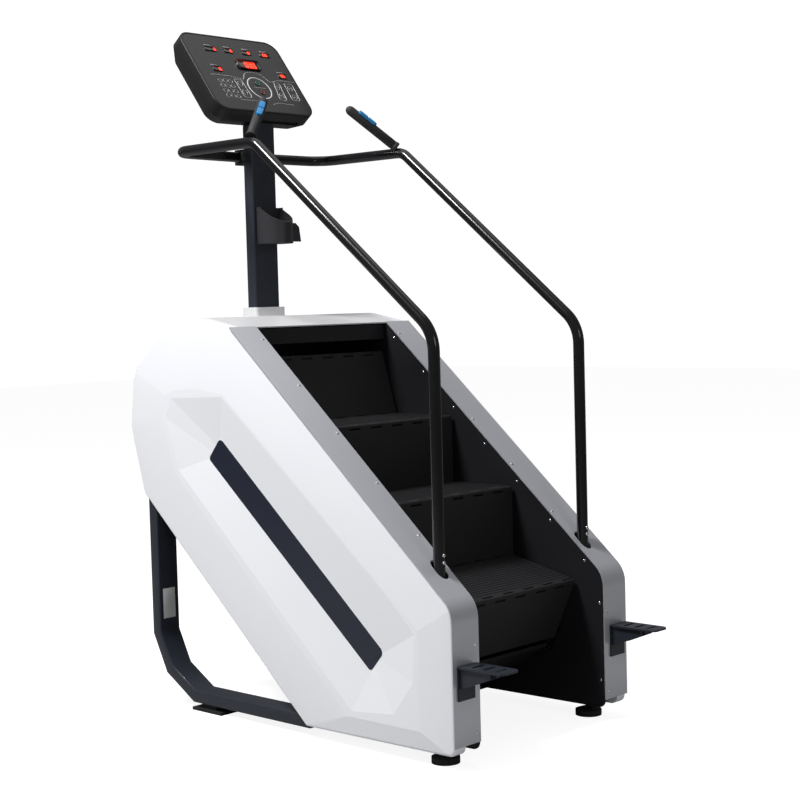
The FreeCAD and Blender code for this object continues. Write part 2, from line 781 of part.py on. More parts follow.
def frame_plate(label, side):
    """Side plate that carries the bearings, the rail and the foot, with lightening windows."""
    body = new_body(label)
    start = "-Sizes.frame_inner - Sizes.frame_gauge" if side < 0 else "Sizes.frame_inner"
    profile = sketch(body, "YZ_Plane", 0, start)
    draw(profile, frame_outline)
    pad(body, profile, "Sizes.frame_gauge", "Plate")
    cuts = sketch(body, "YZ_Plane", side * size("frame_inner") - 10)
    circle(cuts, lower_centre.y, lower_centre.z, 24)
    circle(cuts, upper_centre.y, upper_centre.z, 24)
    circle(cuts, motor_centre.y, motor_centre.z, 14)
    middle = (lower_centre + upper_centre) * 0.5
    for step in (1, 2.1):
        window = middle + up_slope * (80 * step)
        circle(cuts, window.y, window.z, 34)
    pocket(body, cuts, 20, True, "Windows")
    socket = sketch(body, "XY_Plane", 380)
    x = side * size("rail_x")
    inner, outer = sorted((side * 290, side * size("frame_inner")))
    draw(socket, rectangle(inner, -14, outer, 28))
    circle(socket, x, 7, size("rail_radius"), "Sizes.rail_radius")
    pad(body, socket, 46, "RailSocket")
    block = sketch(body, "XY_Plane", 62)
    inner, outer = sorted((side * 296, side * size("frame_inner")))
    draw(block, rectangle(inner, -20, outer, 20))
    circle(block, side * 312, 0, 8)
    pad(body, block, 22, "FootBlock")
    return body


frame_plate("left_frame_plate", -1)
frame_plate("right_frame_plate", 1)


def tube_across(y0, z0, y1, z1, half_length):
    """Rectangular tube from side to side."""
    wall = size("tube_wall")
    outer = Part.makeBox(2 * half_length, y1 - y0, z1 - z0, V(-half_length, y0, z0))
    hollow_size = (2 * half_length, y1 - y0 - 2 * wall, z1 - z0 - 2 * wall)
    return outer.cut(Part.makeBox(*hollow_size, V(-half_length, y0 + wall, z0 + wall)))


plate_gap = size("frame_inner")
middle = (lower_centre + upper_centre) * 0.5
centre_tube = (middle.y - 30, middle.z - 30, middle.y + 30, middle.z + 30)
tubes = [tube_across(*corners, plate_gap) for corners in frame_tubes + [centre_tube]]
new_feature("cross_tubes", Part.makeCompound(tubes))

leg_path = [(1140, 762), (1140, 215), (1085, 108), (970, 40), (470, 40)]


def leg_section(half, start, width):
    """A bar of rectangular section along the leg's path, with mitred bends."""
    outer, inner_side = [], []
    for i, (y, z) in enumerate(leg_path):
        ahead = V(*leg_path[min(i + 1, len(leg_path) - 1)], 0) - V(y, z, 0)
        back = V(y, z, 0) - V(*leg_path[max(i - 1, 0)], 0)
        ways = [way.normalize() for way in (ahead, back) if way.Length > 0]
        normals = [V(way.y, -way.x, 0) for way in ways]
        total = normals[0] + normals[-1]
        shift = total * (half / (1 + normals[0].dot(normals[-1])))
        outer.append(V(start, y - shift.x, z - shift.y))
        inner_side.append(V(start, y + shift.x, z + shift.y))
    ring = outer + inner_side[::-1]
    return Part.Face(Part.makePolygon(ring + ring[:1])).extrude(V(width, 0, 0))


def rear_leg(side):
    """One rear leg, a flat rectangular tube."""
    width, half, wall = size("leg_width"), size("leg_gauge") / 2, size("tube_wall")
    start = size("leg_inner") if side > 0 else -size("leg_inner") - width
    return leg_section(half, start, width).cut(leg_section(half - wall, start + wall, width - 2 * wall))


crossbar = tube_across(*stand_tube, size("leg_inner") + size("leg_width"))
new_feature("rear_stand", crossbar.fuse([rear_leg(side) for side in (-1, 1)]))


def rear_pad(side):
    x = side * (size("leg_inner") + size("leg_width") / 2)
    plate = Part.makeBox(82, 132, 9, V(x - 41, 845, 0))
    block = Part.makeBox(60, 64, 13, V(x - 30, 880, 9))
    return plate.fuse(block).removeSplitter()


new_feature("rear_foot_pads", Part.makeCompound([rear_pad(side) for side in (-1, 1)]))


def levelling_foot(side):
    x = side * 312
    disc = Part.makeCylinder(size("foot_radius"), 16, V(x, 0, 0))
    cone = Part.makeCone(size("foot_radius"), 14, 8, V(x, 0, 16))
    stem = Part.makeCylinder(8, 60, V(x, 0, 24))
    nut = Part.makeCylinder(13, 10, V(x, 0, 50))
    return disc.fuse([cone, stem, nut]).removeSplitter()


new_feature("levelling_feet", Part.makeCompound([levelling_foot(side) for side in (-1, 1)]))

inlet = new_body("power_inlet")
case = sketch(inlet, "XY_Plane", 734)
draw(case, rectangle(-26, 1126, 26, 1154, 3))
pad(inlet, case, 28, "Case")
socket = sketch(inlet, "XY_Plane", 733)
draw(socket, rectangle(-14, 1131, 14, 1149, 3))
pocket(inlet, socket, 19, True, "Socket")

# --- Mast, handrails and hoop ------------------------------------------------------------------

mast = new_body("mast")
section = sketch(mast, "XY_Plane", 1085)
draw(section, rectangle(-mast_half_x, mast_y - mast_half_y, mast_half_x, mast_y + mast_half_y, 6))
pad(mast, section, "Sizes.mast_top - 1085", "Tube")
hollow = sketch(mast, "XY_Plane", 1084)
inner_x, inner_y = mast_half_x - 3, mast_half_y - 3
draw(hollow, rectangle(-inner_x, mast_y - inner_y, inner_x, mast_y + inner_y, 3))
pocket(mast, hollow, "Sizes.mast_top - 1090", True, "Hollow")
wedge = sketch(mast, "YZ_Plane", -mast_half_x + 6)
top = size("mast_top")
low_y, high_y = mast_y - mast_half_y, mast_y + mast_half_y
draw(wedge, [(low_y, top - 2), (high_y, top - 2), (high_y, top + 2.9), (low_y, top + 8.7)])
pad(mast, wedge, 2 * mast_half_x - 12, "ConsoleSeat")


def tube_along(path_edges, start, direction):
    """Round tube swept along joined lines and arcs."""
    spine = Part.Wire(path_edges)
    shapes = []
    for radius in (size("rail_radius"), size("rail_radius") - size("rail_wall")):
        ring = Part.Wire(Part.Circle(start, direction, radius).toShape())
        shapes.append(spine.makePipeShell([ring], True, True))
    return shapes[0].cut(shapes[1])


def place_edge(edge, place):
    shape = edge.toShape()
    shape.Placement = place
    return shape


def sorted_path(points, place):
    """Open path of lines and arcs, turned into its plane, in order."""
    shapes = [place_edge(edge, place) for edge in edges_of(points, closed=False)]
    return Part.__sortEdges__(shapes)


side_plane = FreeCAD.Placement(V(0, 0, 0), FreeCAD.Rotation(V(0, 1, 0), V(0, 0, 1), V(1, 0, 0), "ZXY"))
rail_path = [(7, 392), (7, 1128, 110), (676, size("hoop_z"), 60), (760, size("hoop_z"))]


def handrail(label, side):
    """Post, sloping rail and short level end in one bent tube."""
    place = FreeCAD.Placement(V(side * size("rail_x"), 0, 0), side_plane.Rotation)
    path = sorted_path(rail_path, place)
    start = V(side * size("rail_x"), rail_path[0][0], rail_path[0][1])
    return new_feature(label, tube_along(path, start, V(0, 0, 1)))


handrail("left_handrail", -1)
handrail("right_handrail", 1)

hoop_bow = size("hoop_y") - 20
hoop_path = [
    (-size("rail_x"), 760), (-size("rail_x") + 4, hoop_bow, 70), (0, size("hoop_y"), 900),
    (size("rail_x") - 4, hoop_bow, 70), (size("rail_x"), 760),
]
level = FreeCAD.Placement(V(0, 0, size("hoop_z")), FreeCAD.Rotation())
hoop_start = V(-size("rail_x"), 760, size("hoop_z"))
hoop_way = V(4, hoop_bow - 760, 0)
new_feature("rear_hoop", tube_along(sorted_path(hoop_path, level), hoop_start, hoop_way))

clamp = new_body("hoop_clamp")
mast_back = mast_y + mast_half_y
jaw = sketch(clamp, "YZ_Plane", -32)
hoop_middle = size("hoop_y") - 1.3
draw(jaw, rectangle(mast_back, size("hoop_z") - 24, hoop_middle + 22, size("hoop_z") + 24, 4))
pad(clamp, jaw, 64, "Jaw")
bore = sketch(clamp, "YZ_Plane", -40)
circle(bore, hoop_middle, size("hoop_z"), size("rail_radius") + 1.4)
pocket(clamp, bore, 80, True, "TubeBore")
for knob_x, knob_radius in ((mast_half_x, 12), (-mast_half_x - 14, 8)):
    knob = sketch(clamp, "YZ_Plane", knob_x)
    circle(knob, mast_back - 14, size("hoop_z") - 4, knob_radius)
    pad(clamp, knob, 14, "Knob")
strap = sketch(clamp, "XY_Plane", size("hoop_z") - 14)
draw(strap, [(-mast_half_x - 4, mast_back - 26), (-mast_half_x, mast_back - 26), (-mast_half_x, mast_back),
             (mast_half_x, mast_back), (mast_half_x, mast_back - 26), (mast_half_x + 4, mast_back - 26),
             (mast_half_x + 4, mast_back + 4), (-mast_half_x - 4, mast_back + 4)])
pad(clamp, strap, 28, "Strap")

# --- Hand grips with their speed rockers ---------------------------------------------------------

grip_foot = V(size("rail_x") - 6, 696, size("hoop_z") + 17)
grip_tip = V(171, 781, 1816)


def grip_frame(side):
    """Turn that lays local Z along the grip and local X towards the climber's thumb."""
    foot = V(side * grip_foot.x, grip_foot.y, grip_foot.z)
    tip = V(side * grip_tip.x, grip_tip.y, grip_tip.z)
    axis = (tip - foot).normalize()
    thumb = V(0, -0.55, 0.83)
    thumb = (thumb - axis * thumb.dot(axis)).normalize()
    return foot, FreeCAD.Rotation(thumb, V(0, 0, 0), axis, "ZXY")


rocker_at, rocker_half, rocker_width = 128, 34, 9
pivot_in, pivot_radius, pivot_half = 13, 2, 12


def grip(label, side):
    """Moulded grip with a domed end and an oval well for the rocker."""
    foot, turn = grip_frame(side)
    body = new_body(label, foot, turn)
    radius, length = size("grip_radius"), size("grip_length")
    profile = sketch(body, "XZ_Plane")
    lines = [(0, 0), (radius - 4, 0), (radius, 12), (radius, length - radius)]
    for first, last in zip(lines, lines[1:]):
        profile.addGeometry(Part.LineSegment(V(*first, 0), V(*last, 0)), False)
    dome = Part.Circle(V(0, length - radius, 0), V(0, 0, 1), radius)
    profile.addGeometry(Part.ArcOfCircle(dome, 0, math.pi / 2), False)
    profile.addGeometry(Part.LineSegment(V(0, length, 0), V(0, 0, 0)), False)
    turned = body.newObject("PartDesign::Revolution", "Turned")
    turned.Profile = profile
    turned.ReferenceAxis = (origin_feature(body, "Z_Axis"), [""])
    turned.Angle = 360
    body.Tip = turned
    well = sketch(body, "YZ_Plane", radius - 8)
    edge = rocker_width + 1
    draw(well, rectangle(-edge, rocker_at - rocker_half - 1, edge, rocker_at + rocker_half + 1, edge - 0.1))
    pocket(body, well, 12, True, "Well")
    pivot_bore = sketch(body, "XZ_Plane", -pivot_half - 1)
    circle(pivot_bore, pivot_in, rocker_at, pivot_radius + 0.05)
    pocket(body, pivot_bore, 2 * pivot_half + 2, True, "PivotBore")
    return body


def rocker(label, side):
    """Two-way speed rocker, slower at one end and faster at the other."""
    foot, turn = grip_frame(side)
    body = new_body(label, foot, turn)
    shape = sketch(body, "YZ_Plane", size("grip_radius") - 5)
    edge = rocker_width
    draw(shape, rectangle(-edge, rocker_at - rocker_half, edge, rocker_at + rocker_half, edge - 0.1))
    pad(body, shape, 7, "Cap")
    notch = sketch(body, "YZ_Plane", size("grip_radius") + 1)
    draw(notch, rectangle(-edge - 1, rocker_at - 1, edge + 1, rocker_at + 1))
    pocket(body, notch, 3, True, "Parting")
    pivot = sketch(body, "XZ_Plane", -pivot_half)
    circle(pivot, pivot_in, rocker_at, pivot_radius)
    pad(body, pivot, 2 * pivot_half, "Pivot")
    return body


for side, name in ((-1, "left"), (1, "right")):
    grip(name + "_grip", side)
    rocker(name + "_speed_rocker", side)

# --- Console ------------------------------------------------------------------------------------

console_centre = V(0, size("console_y"), size("console_z"))
console_turn = FreeCAD.Rotation(V(1, 0, 0), size("console_lean"))
console_x, console_up = size("console_width") / 2, size("console_height") / 2
console_round = size("console_corner")

housing = new_body("console_housing", console_centre, console_turn)
wall = sketch(housing, "XY_Plane", 0, "-Sizes.console_side")
draw(wall, rectangle(-console_x, -console_up, console_x, console_up, console_round))
pad(housing, wall, "Sizes.console_side", "Sides")
back = sketch(housing, "XY_Plane", 0, "-Sizes.console_side")
draw(back, rectangle(-console_x, -console_up, console_x, console_up, console_round))
tapered = pad(housing, back, "Sizes.console_deep - Sizes.console_side", "Back")
tapered.Reversed = True
tapered.TaperAngle = -28
bezel = 7
well = sketch(housing, "XY_Plane", 0)
draw(well, rectangle(-console_x + bezel, -console_up + bezel, console_x - bezel, console_up - bezel, 40))
pocket(housing, well, 5, False, "FaceWell")
room = sketch(housing, "XY_Plane", 0)
draw(room, rectangle(-console_x + 14, -console_up + 14, console_x - 14, console_up - 14, 34))
pocket(housing, room, "Sizes.console_side - 4", False, "ElectronicsRoom")

KEYS = {"start_key": (21, -36), "stop_key": (21, -74)}
key_radius = 11

plate = new_body("console_face", console_centre, console_turn)
flat = sketch(plate, "XY_Plane", -5)
draw(flat, rectangle(-console_x + bezel, -console_up + bezel, console_x - bezel, console_up - bezel, 40))
for key_x, key_up in KEYS.values():
    circle(flat, key_x, key_up, key_radius + 0.4)
pad(plate, flat, 4, "Plate")


def key(label, key_x, key_up):
    body = new_body(label, console_centre, console_turn)
    cap = sketch(body, "XY_Plane", -9)
    circle(cap, key_x, key_up, key_radius)
    pad(body, cap, 10, "Cap")
    return body


for label, (key_x, key_up) in KEYS.items():
    key(label, key_x, key_up)

# --- Bottle holder --------------------------------------------------------------------------------

holder = new_body("bottle_holder")
cup_x, cup_y, cup_radius, cup_wall = 10, 935, 47, 3
mast_front = mast_y - mast_half_y


def cup_outline(radius, back_y):
    """U shape: a half round front with straight sides back to the mast."""
    left, right = V(cup_x - radius, cup_y, 0), V(cup_x + radius, cup_y, 0)
    left_back, right_back = V(left.x, back_y, 0), V(right.x, back_y, 0)
    tip = V(cup_x, cup_y - radius, 0)
    sides = [Part.LineSegment(right, right_back), Part.LineSegment(right_back, left_back)]
    return sides + [Part.LineSegment(left_back, left), Part.Arc(left, tip, right)]


cup_low, cup_high = 1400, 1514
cup = sketch(holder, "XY_Plane", cup_low)
for edge in cup_outline(cup_radius, mast_front):
    cup.addGeometry(edge, False)
pad(holder, cup, cup_high - cup_low, "Cup")
inside = sketch(holder, "XY_Plane", cup_low + cup_wall)
for edge in cup_outline(cup_radius - cup_wall, mast_front - cup_wall):
    inside.addGeometry(edge, False)
pocket(holder, inside, cup_high, True, "Inside")
mouth = sketch(holder, "YZ_Plane", cup_x - cup_radius - 1)
low_lip = cup_high - 50
cup_front, cup_back = cup_y - cup_radius - 1, mast_front - 20
draw(mouth, [(cup_front, low_lip), (cup_back, cup_high - 6), (cup_back, cup_high + 1),
             (cup_front, cup_high + 1)])
pocket(holder, mouth, 2 * cup_radius + 2, True, "SlopingMouth")
clip = sketch(holder, "XZ_Plane", -(cup_y - 14))
right = cup_x + cup_radius
clip_low, clip_high = 1406, 1464
draw(clip, [(right - 6, clip_low), (right + 34, clip_low), (right + 27, clip_high - 12, 6),
            (right + 12, clip_high, 6), (right - 6, clip_high)])
pad(holder, clip, 4, "PhoneClip")

# --- Entry steps and screws -------------------------------------------------------------------------


def entry_step(label, side):
    """Small slotted step on a gusseted bracket at the front of a side housing."""
    body = new_body(label)
    back_y = front - size("trim_gauge")
    top = size("peg_z")
    x0 = side * 330 - 36
    back = sketch(body, "YZ_Plane", x0 + 4)
    draw(back, rectangle(back_y - 5, top - 92, back_y, top - 4))
    pad(body, back, 64, "BackPlate")
    shelf = sketch(body, "XY_Plane", top - 5)
    reach = back_y - size("peg_reach")
    draw(shelf, [(x0, back_y - 5, 3), (x0, reach + 12, 10), (x0 + 12, reach, 10), (x0 + 60, reach, 10),
                 (x0 + 72, reach + 12, 10), (x0 + 72, back_y - 5, 3)])
    for row_y in (-44, -82, -120):
        slot_y = back_y + row_y
        draw(shelf, rectangle(x0 + 12, slot_y - 6, x0 + 60, slot_y + 6, 5.9))
    pad(body, shelf, 5, "Shelf")
    for x in (x0 + 8, x0 + 59):
        gusset = sketch(body, "YZ_Plane", x)
        draw(gusset, [(back_y - 4, top - 4), (back_y - 4, top - 60), (back_y - 30, top - 52),
                      (back_y - 104, top - 22), (back_y - 104, top - 4)])
        pad(body, gusset, 5, "Gusset")
    return body


entry_step("left_entry_step", -1)
entry_step("right_entry_step", 1)


def screw(point, way):
    """Low dome-head screw, drawn from the surface it holds down."""
    head = Part.makeSphere(7, V(0, 0, -4.6)).common(Part.makeCylinder(size("screw_head"), 6, V(0, 0, 0)))
    head.Placement = FreeCAD.Placement(point, FreeCAD.Rotation(V(0, 0, 1), way))
    return head


screws = []
slope_up = V(0, -math.sin(slope), math.cos(slope))
for side in (-1, 1):
    panel_face = side * size("panel_inner")
    for i in range(7):
        y = 702 - i * 121
        screws.append(screw(V(panel_face, y, slope_line(y, size("cover_lift") - 16)), V(-side, 0, 0)))
    for z in (338, 118):
        screws.append(screw(V(panel_face, front + 14, z), V(-side, 0, 0)))
    trim_x = side * 288
    for i in range(5):
        y = 690 - i * 148
        top = slope_line(y, size("cover_lift") + size("trim_gauge"))
        screws.append(screw(V(trim_x, y, top), slope_up))
    for z in (316, 86):
        screws.append(screw(V(trim_x, front - size("trim_gauge"), z), V(0, -1, 0)))
new_feature("cover_screws", Part.makeCompound(screws))

# --- Check and write -----------------------------------------------------------------------------

doc.recompute()
failed = [o.Label for o in doc.Objects if "Invalid" in o.State or "Error" in o.State]
for part in subparts:
    if part.Shape.isNull() or not part.Shape.isValid() or part.Shape.Volume <= 0:
        failed.append(part.Label + " (shape)")
if failed:
    raise RuntimeError("failed: " + ", ".join(failed))

os.makedirs("parts", exist_ok=True)
for part in subparts:
    part.Shape.exportStep("parts/%s.step" % part.Label)
print(len(subparts), "sub-parts written")
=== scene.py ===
import json
import math

import bmesh
import bpy
from mathutils import Matrix, Vector


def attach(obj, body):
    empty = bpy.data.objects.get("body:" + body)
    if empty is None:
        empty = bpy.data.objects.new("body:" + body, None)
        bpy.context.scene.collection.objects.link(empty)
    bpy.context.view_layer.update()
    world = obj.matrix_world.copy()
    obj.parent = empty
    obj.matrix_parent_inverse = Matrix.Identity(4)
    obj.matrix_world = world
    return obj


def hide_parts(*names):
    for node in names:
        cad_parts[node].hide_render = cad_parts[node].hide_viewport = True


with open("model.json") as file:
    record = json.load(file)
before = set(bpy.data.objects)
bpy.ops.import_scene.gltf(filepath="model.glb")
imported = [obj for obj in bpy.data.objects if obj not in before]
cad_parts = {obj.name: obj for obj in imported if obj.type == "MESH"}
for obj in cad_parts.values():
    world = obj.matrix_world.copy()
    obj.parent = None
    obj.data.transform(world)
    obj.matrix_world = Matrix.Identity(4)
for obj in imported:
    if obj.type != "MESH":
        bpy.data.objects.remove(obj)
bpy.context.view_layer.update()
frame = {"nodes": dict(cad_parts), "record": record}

# Sizes are in millimetres from the line through the front feet, as on the workshop drawing.
mm = 0.001
same_place = 0.00001
feet_y = frame["record"]["mounts"][0]["pos_m"][1]
nodes = frame["nodes"]


def spot(x, y, z):
    """Place of a drawing point in the frame."""
    return Vector((x * mm, y * mm + feet_y, z * mm))


# --- Hand tools -----------------------------------------------------------------------------------

def close_mesh():
    """Leave edit mode if a mesh is open."""
    if bpy.context.mode == "EDIT_MESH":
        bpy.ops.object.mode_set(mode="OBJECT")


def only(piece):
    """Select one piece and nothing else."""
    bpy.ops.object.select_all(action="DESELECT")
    piece.select_set(True)
    bpy.context.view_layer.objects.active = piece


def begin(shape, name, **sizes):
    """Add a primitive and open it for editing."""
    close_mesh()
    bpy.ops.object.select_all(action="DESELECT")
    getattr(bpy.ops.mesh, "primitive_" + shape + "_add")(**sizes)
    piece = bpy.context.object
    piece.name = name
    piece.data.name = name
    bpy.ops.object.mode_set(mode="EDIT")
    bpy.ops.mesh.select_mode(type="VERT")
    bpy.ops.mesh.select_all(action="SELECT")
    return piece


def begin_box(name, middle, sides):
    """Box about a middle, both in millimetres, open for editing."""
    box = begin("cube", name, size=1)
    bpy.ops.transform.resize(value=[side * mm for side in sides])
    bpy.ops.transform.translate(value=[place * mm for place in middle])
    return box


def pick(kind, test):
    """Select the vertices, edges or faces that pass a test."""
    bpy.ops.mesh.select_mode(type=kind)
    bpy.ops.mesh.select_all(action="DESELECT")
    mesh = bmesh.from_edit_mesh(bpy.context.object.data)
    for part in {"VERT": mesh.verts, "EDGE": mesh.edges, "FACE": mesh.faces}[kind]:
        if test(part):
            part.select_set(True)
    mesh.select_flush_mode()
    bmesh.update_edit_mesh(bpy.context.object.data)


def finish(piece, material, body, replaced=(), angle=35):
    """Close a piece: mend its normals, smooth it, and put it on its body."""
    if bpy.context.mode == "OBJECT":
        only(piece)
        bpy.ops.object.mode_set(mode="EDIT")
    bpy.ops.mesh.select_all(action="SELECT")
    bpy.ops.mesh.remove_doubles(threshold=same_place)
    bpy.ops.mesh.normals_make_consistent(inside=False)
    bpy.ops.object.mode_set(mode="OBJECT")
    only(piece)
    bpy.ops.object.shade_smooth_by_angle(angle=math.radians(angle))
    piece.data.materials.clear()
    piece.data.materials.append(material)
    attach(piece, body)
    if replaced:
        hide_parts(*replaced)


def extrude(step):
    """Draw what is selected out by a step."""
    bpy.ops.mesh.extrude_region_move(TRANSFORM_OT_translate={"value": step})


def path(name, corners, closed=False, fine=8):
    """Wire from corner to corner; a corner is a point and the radius it is rounded to."""
    piece = begin("plane", name, size=0.01)
    bpy.ops.mesh.merge(type="CENTER")
    points = [point for point, _ in corners]
    count = len(points)
    here = (points[-1] + points[0]) / 2 if closed else points[0]
    first = here
    bpy.ops.transform.translate(value=here)
    for number in range(0 if closed else 1, count):
        point, radius = corners[number]
        following = points[(number + 1) % count]
        if not radius or (not closed and number == count - 1):
            extrude(point - here)
            here = point
            continue
        before = (point - points[number - 1]).normalized()
        after = (following - point).normalized()
        turn = before.angle(after)
        reach = radius * mm * math.tan(turn / 2)
        entry = point - before * reach
        extrude(entry - here)
        inwards = (after - before * before.dot(after)).normalized()
        bpy.ops.mesh.spin(
            steps=max(2, round(fine * turn / math.radians(90))), angle=-turn,
            center=entry + inwards * radius * mm, axis=before.cross(after).normalized())
        here = point + after * reach
    if closed:
        extrude(first - here)
        bpy.ops.mesh.select_all(action="SELECT")
        bpy.ops.mesh.remove_doubles(threshold=same_place)
    return piece


def side_view(x, outline):
    """Corners of an outline drawn in the machine's side view."""
    return [(spot(x, corner[0], corner[1]), corner[2] if len(corner) > 2 else 0) for corner in outline]


def plate(name, corners, thickness, fine=8):
    """Solid plate with a rounded outline; thickness is the step from its first face to its second."""
    piece = path(name, corners, closed=True, fine=fine)
    bpy.ops.mesh.select_all(action="SELECT")
    bpy.ops.mesh.edge_face_add()
    extrude(thickness)
    bpy.ops.mesh.select_all(action="SELECT")
    bpy.ops.mesh.normals_make_consistent(inside=False)
    return piece


def tube(name, corners, radius, fine=14, round_fine=6):
    """Round bar along a path, as a wire turned into a thick curve."""
    piece = path(name, corners, fine=fine)
    bpy.ops.object.mode_set(mode="OBJECT")
    only(piece)
    bpy.ops.object.convert(target="CURVE")
    piece = bpy.context.object
    piece.data.dimensions = "3D"
    piece.data.bevel_depth = radius * mm
    piece.data.bevel_resolution = round_fine
    piece.data.use_fill_caps = True
    bpy.ops.object.convert(target="MESH")
    piece = bpy.context.object
    piece.data.materials.clear()
    bpy.ops.object.mode_set(mode="EDIT")
    return piece


def soften_edges(test, width, segments=3):
    """Round the chosen edges."""
    pick("EDGE", test)
    bpy.ops.mesh.bevel(offset=width * mm, segments=segments, clamp_overlap=False)


def cut_out(piece, tool, operation="DIFFERENCE"):
    """Take one solid out of another, or keep what they share."""
    close_mesh()
    only(piece)
    cut = piece.modifiers.new("cut", "BOOLEAN")
    cut.operation = operation
    cut.object = tool
    bpy.ops.object.modifier_apply(modifier="cut")
    bpy.data.objects.remove(tool)
    bpy.ops.object.mode_set(mode="EDIT")


def join(first, others):
    """Make one piece of several."""
    close_mesh()
    only(first)
    for other in others:
        other.select_set(True)
    bpy.ops.object.join()
    bpy.ops.object.mode_set(mode="EDIT")
    return first


def turned_into(piece, place):
    """Move a piece modelled about the origin to its place, in its mesh."""
    close_mesh()
    only(piece)
    piece.matrix_world = place
    bpy.ops.object.transform_apply(location=True, rotation=True, scale=True)
    return piece


# --- Node groups ----------------------------------------------------------------------------------

def group(name, inputs, outputs):
    """Empty node group with float or colour sockets."""
    tree = bpy.data.node_groups.new(name, "ShaderNodeTree")
    for label, value in inputs.items():
        kind = "NodeSocketColor" if isinstance(value, tuple) else "NodeSocketFloat"
        socket = tree.interface.new_socket(label, in_out="INPUT", socket_type=kind)
        socket.default_value = value
    for label, kind in outputs.items():
        tree.interface.new_socket(label, in_out="OUTPUT", socket_type="NodeSocket" + kind)
    return tree, tree.nodes.new("NodeGroupInput"), tree.nodes.new("NodeGroupOutput")


def add(tree, kind, **settings):
    """New shader node with its settings."""
    node = tree.nodes.new("ShaderNode" + kind)
    for label, value in settings.items():
        setattr(node, label, value)
    return node


def mixed_tone():
    """Two tones in soft patches, with a finer speckle, and roughness that wanders with them."""
    tree, given, result = group(
        "mixed_tone",
        {"Tone": (1, 1, 1, 1), "Second Tone": (0.8, 0.8, 0.8, 1), "Patch Scale": 6.0,
         "Speckle Scale": 300.0, "Speckle": 0.3, "Roughness": 0.5, "Roughness Spread": 0.1},
        {"Color": "Color", "Roughness": "Float"})
    where = add(tree, "TexCoord")
    patch = add(tree, "TexNoise")
    patch.inputs["Detail"].default_value = 3
    speck = add(tree, "TexNoise")
    speck.inputs["Detail"].default_value = 2
    blend = add(tree, "Mix", data_type="FLOAT")
    colour = add(tree, "Mix", data_type="RGBA")
    shift = add(tree, "Math", operation="SUBTRACT")
    shift.inputs[1].default_value = 0.5
    swing = add(tree, "Math", operation="MULTIPLY_ADD")
    link = tree.links.new
    link(where.outputs["Object"], patch.inputs["Vector"])
    link(where.outputs["Object"], speck.inputs["Vector"])
    link(given.outputs["Patch Scale"], patch.inputs["Scale"])
    link(given.outputs["Speckle Scale"], speck.inputs["Scale"])
    link(given.outputs["Speckle"], blend.inputs[0])
    link(patch.outputs[0], blend.inputs[2])
    link(speck.outputs[0], blend.inputs[3])
    link(blend.outputs[0], colour.inputs[0])
    link(given.outputs["Tone"], colour.inputs[6])
    link(given.outputs["Second Tone"], colour.inputs[7])
    link(blend.outputs[0], shift.inputs[0])
    link(shift.outputs[0], swing.inputs[0])
    link(given.outputs["Roughness Spread"], swing.inputs[1])
    link(given.outputs["Roughness"], swing.inputs[2])
    link(colour.outputs[2], result.inputs["Color"])
    link(swing.outputs[0], result.inputs["Roughness"])
    return tree


def fine_grain():
    """Height of a fine pebbled grain over a slow wave, for moulded and sprayed surfaces."""
    tree, given, result = group(
        "fine_grain", {"Grain Scale": 900.0, "Wave Scale": 12.0, "Wave": 0.3}, {"Height": "Float"})
    where = add(tree, "TexCoord")
    grain = add(tree, "TexVoronoi", feature="SMOOTH_F1")
    wave = add(tree, "TexNoise")
    blend = add(tree, "Mix", data_type="FLOAT")
    link = tree.links.new
    link(where.outputs["Object"], grain.inputs["Vector"])
    link(where.outputs["Object"], wave.inputs["Vector"])
    link(given.outputs["Grain Scale"], grain.inputs["Scale"])
    link(given.outputs["Wave Scale"], wave.inputs["Scale"])
    link(given.outputs["Wave"], blend.inputs[0])
    link(grain.outputs["Distance"], blend.inputs[2])
    link(wave.outputs[0], blend.inputs[3])
    link(blend.outputs[0], result.inputs["Height"])
    return tree


def drawn_lines():
    """Height of fine lines left along one direction by brushing or turning."""
    tree, given, result = group(
        "drawn_lines", {"Across": 1400.0, "Along": 12.0}, {"Height": "Float"})
    where = add(tree, "TexCoord")
    split = add(tree, "SeparateXYZ")
    gather = add(tree, "CombineXYZ")
    streak = add(tree, "TexNoise")
    streak.inputs["Scale"].default_value = 1
    link = tree.links.new
    link(where.outputs["Object"], split.inputs[0])
    for axis, reach in (("X", "Along"), ("Y", "Across"), ("Z", "Across")):
        scaled = add(tree, "Math", operation="MULTIPLY")
        link(split.outputs[axis], scaled.inputs[0])
        link(given.outputs[reach], scaled.inputs[1])
        link(scaled.outputs[0], gather.inputs[axis])
    link(gather.outputs[0], streak.inputs["Vector"])
    link(streak.outputs[0], result.inputs["Height"])
    return tree


TONE, GRAIN, LINES = mixed_tone(), fine_grain(), drawn_lines()


# --- Materials ------------------------------------------------------------------------------------

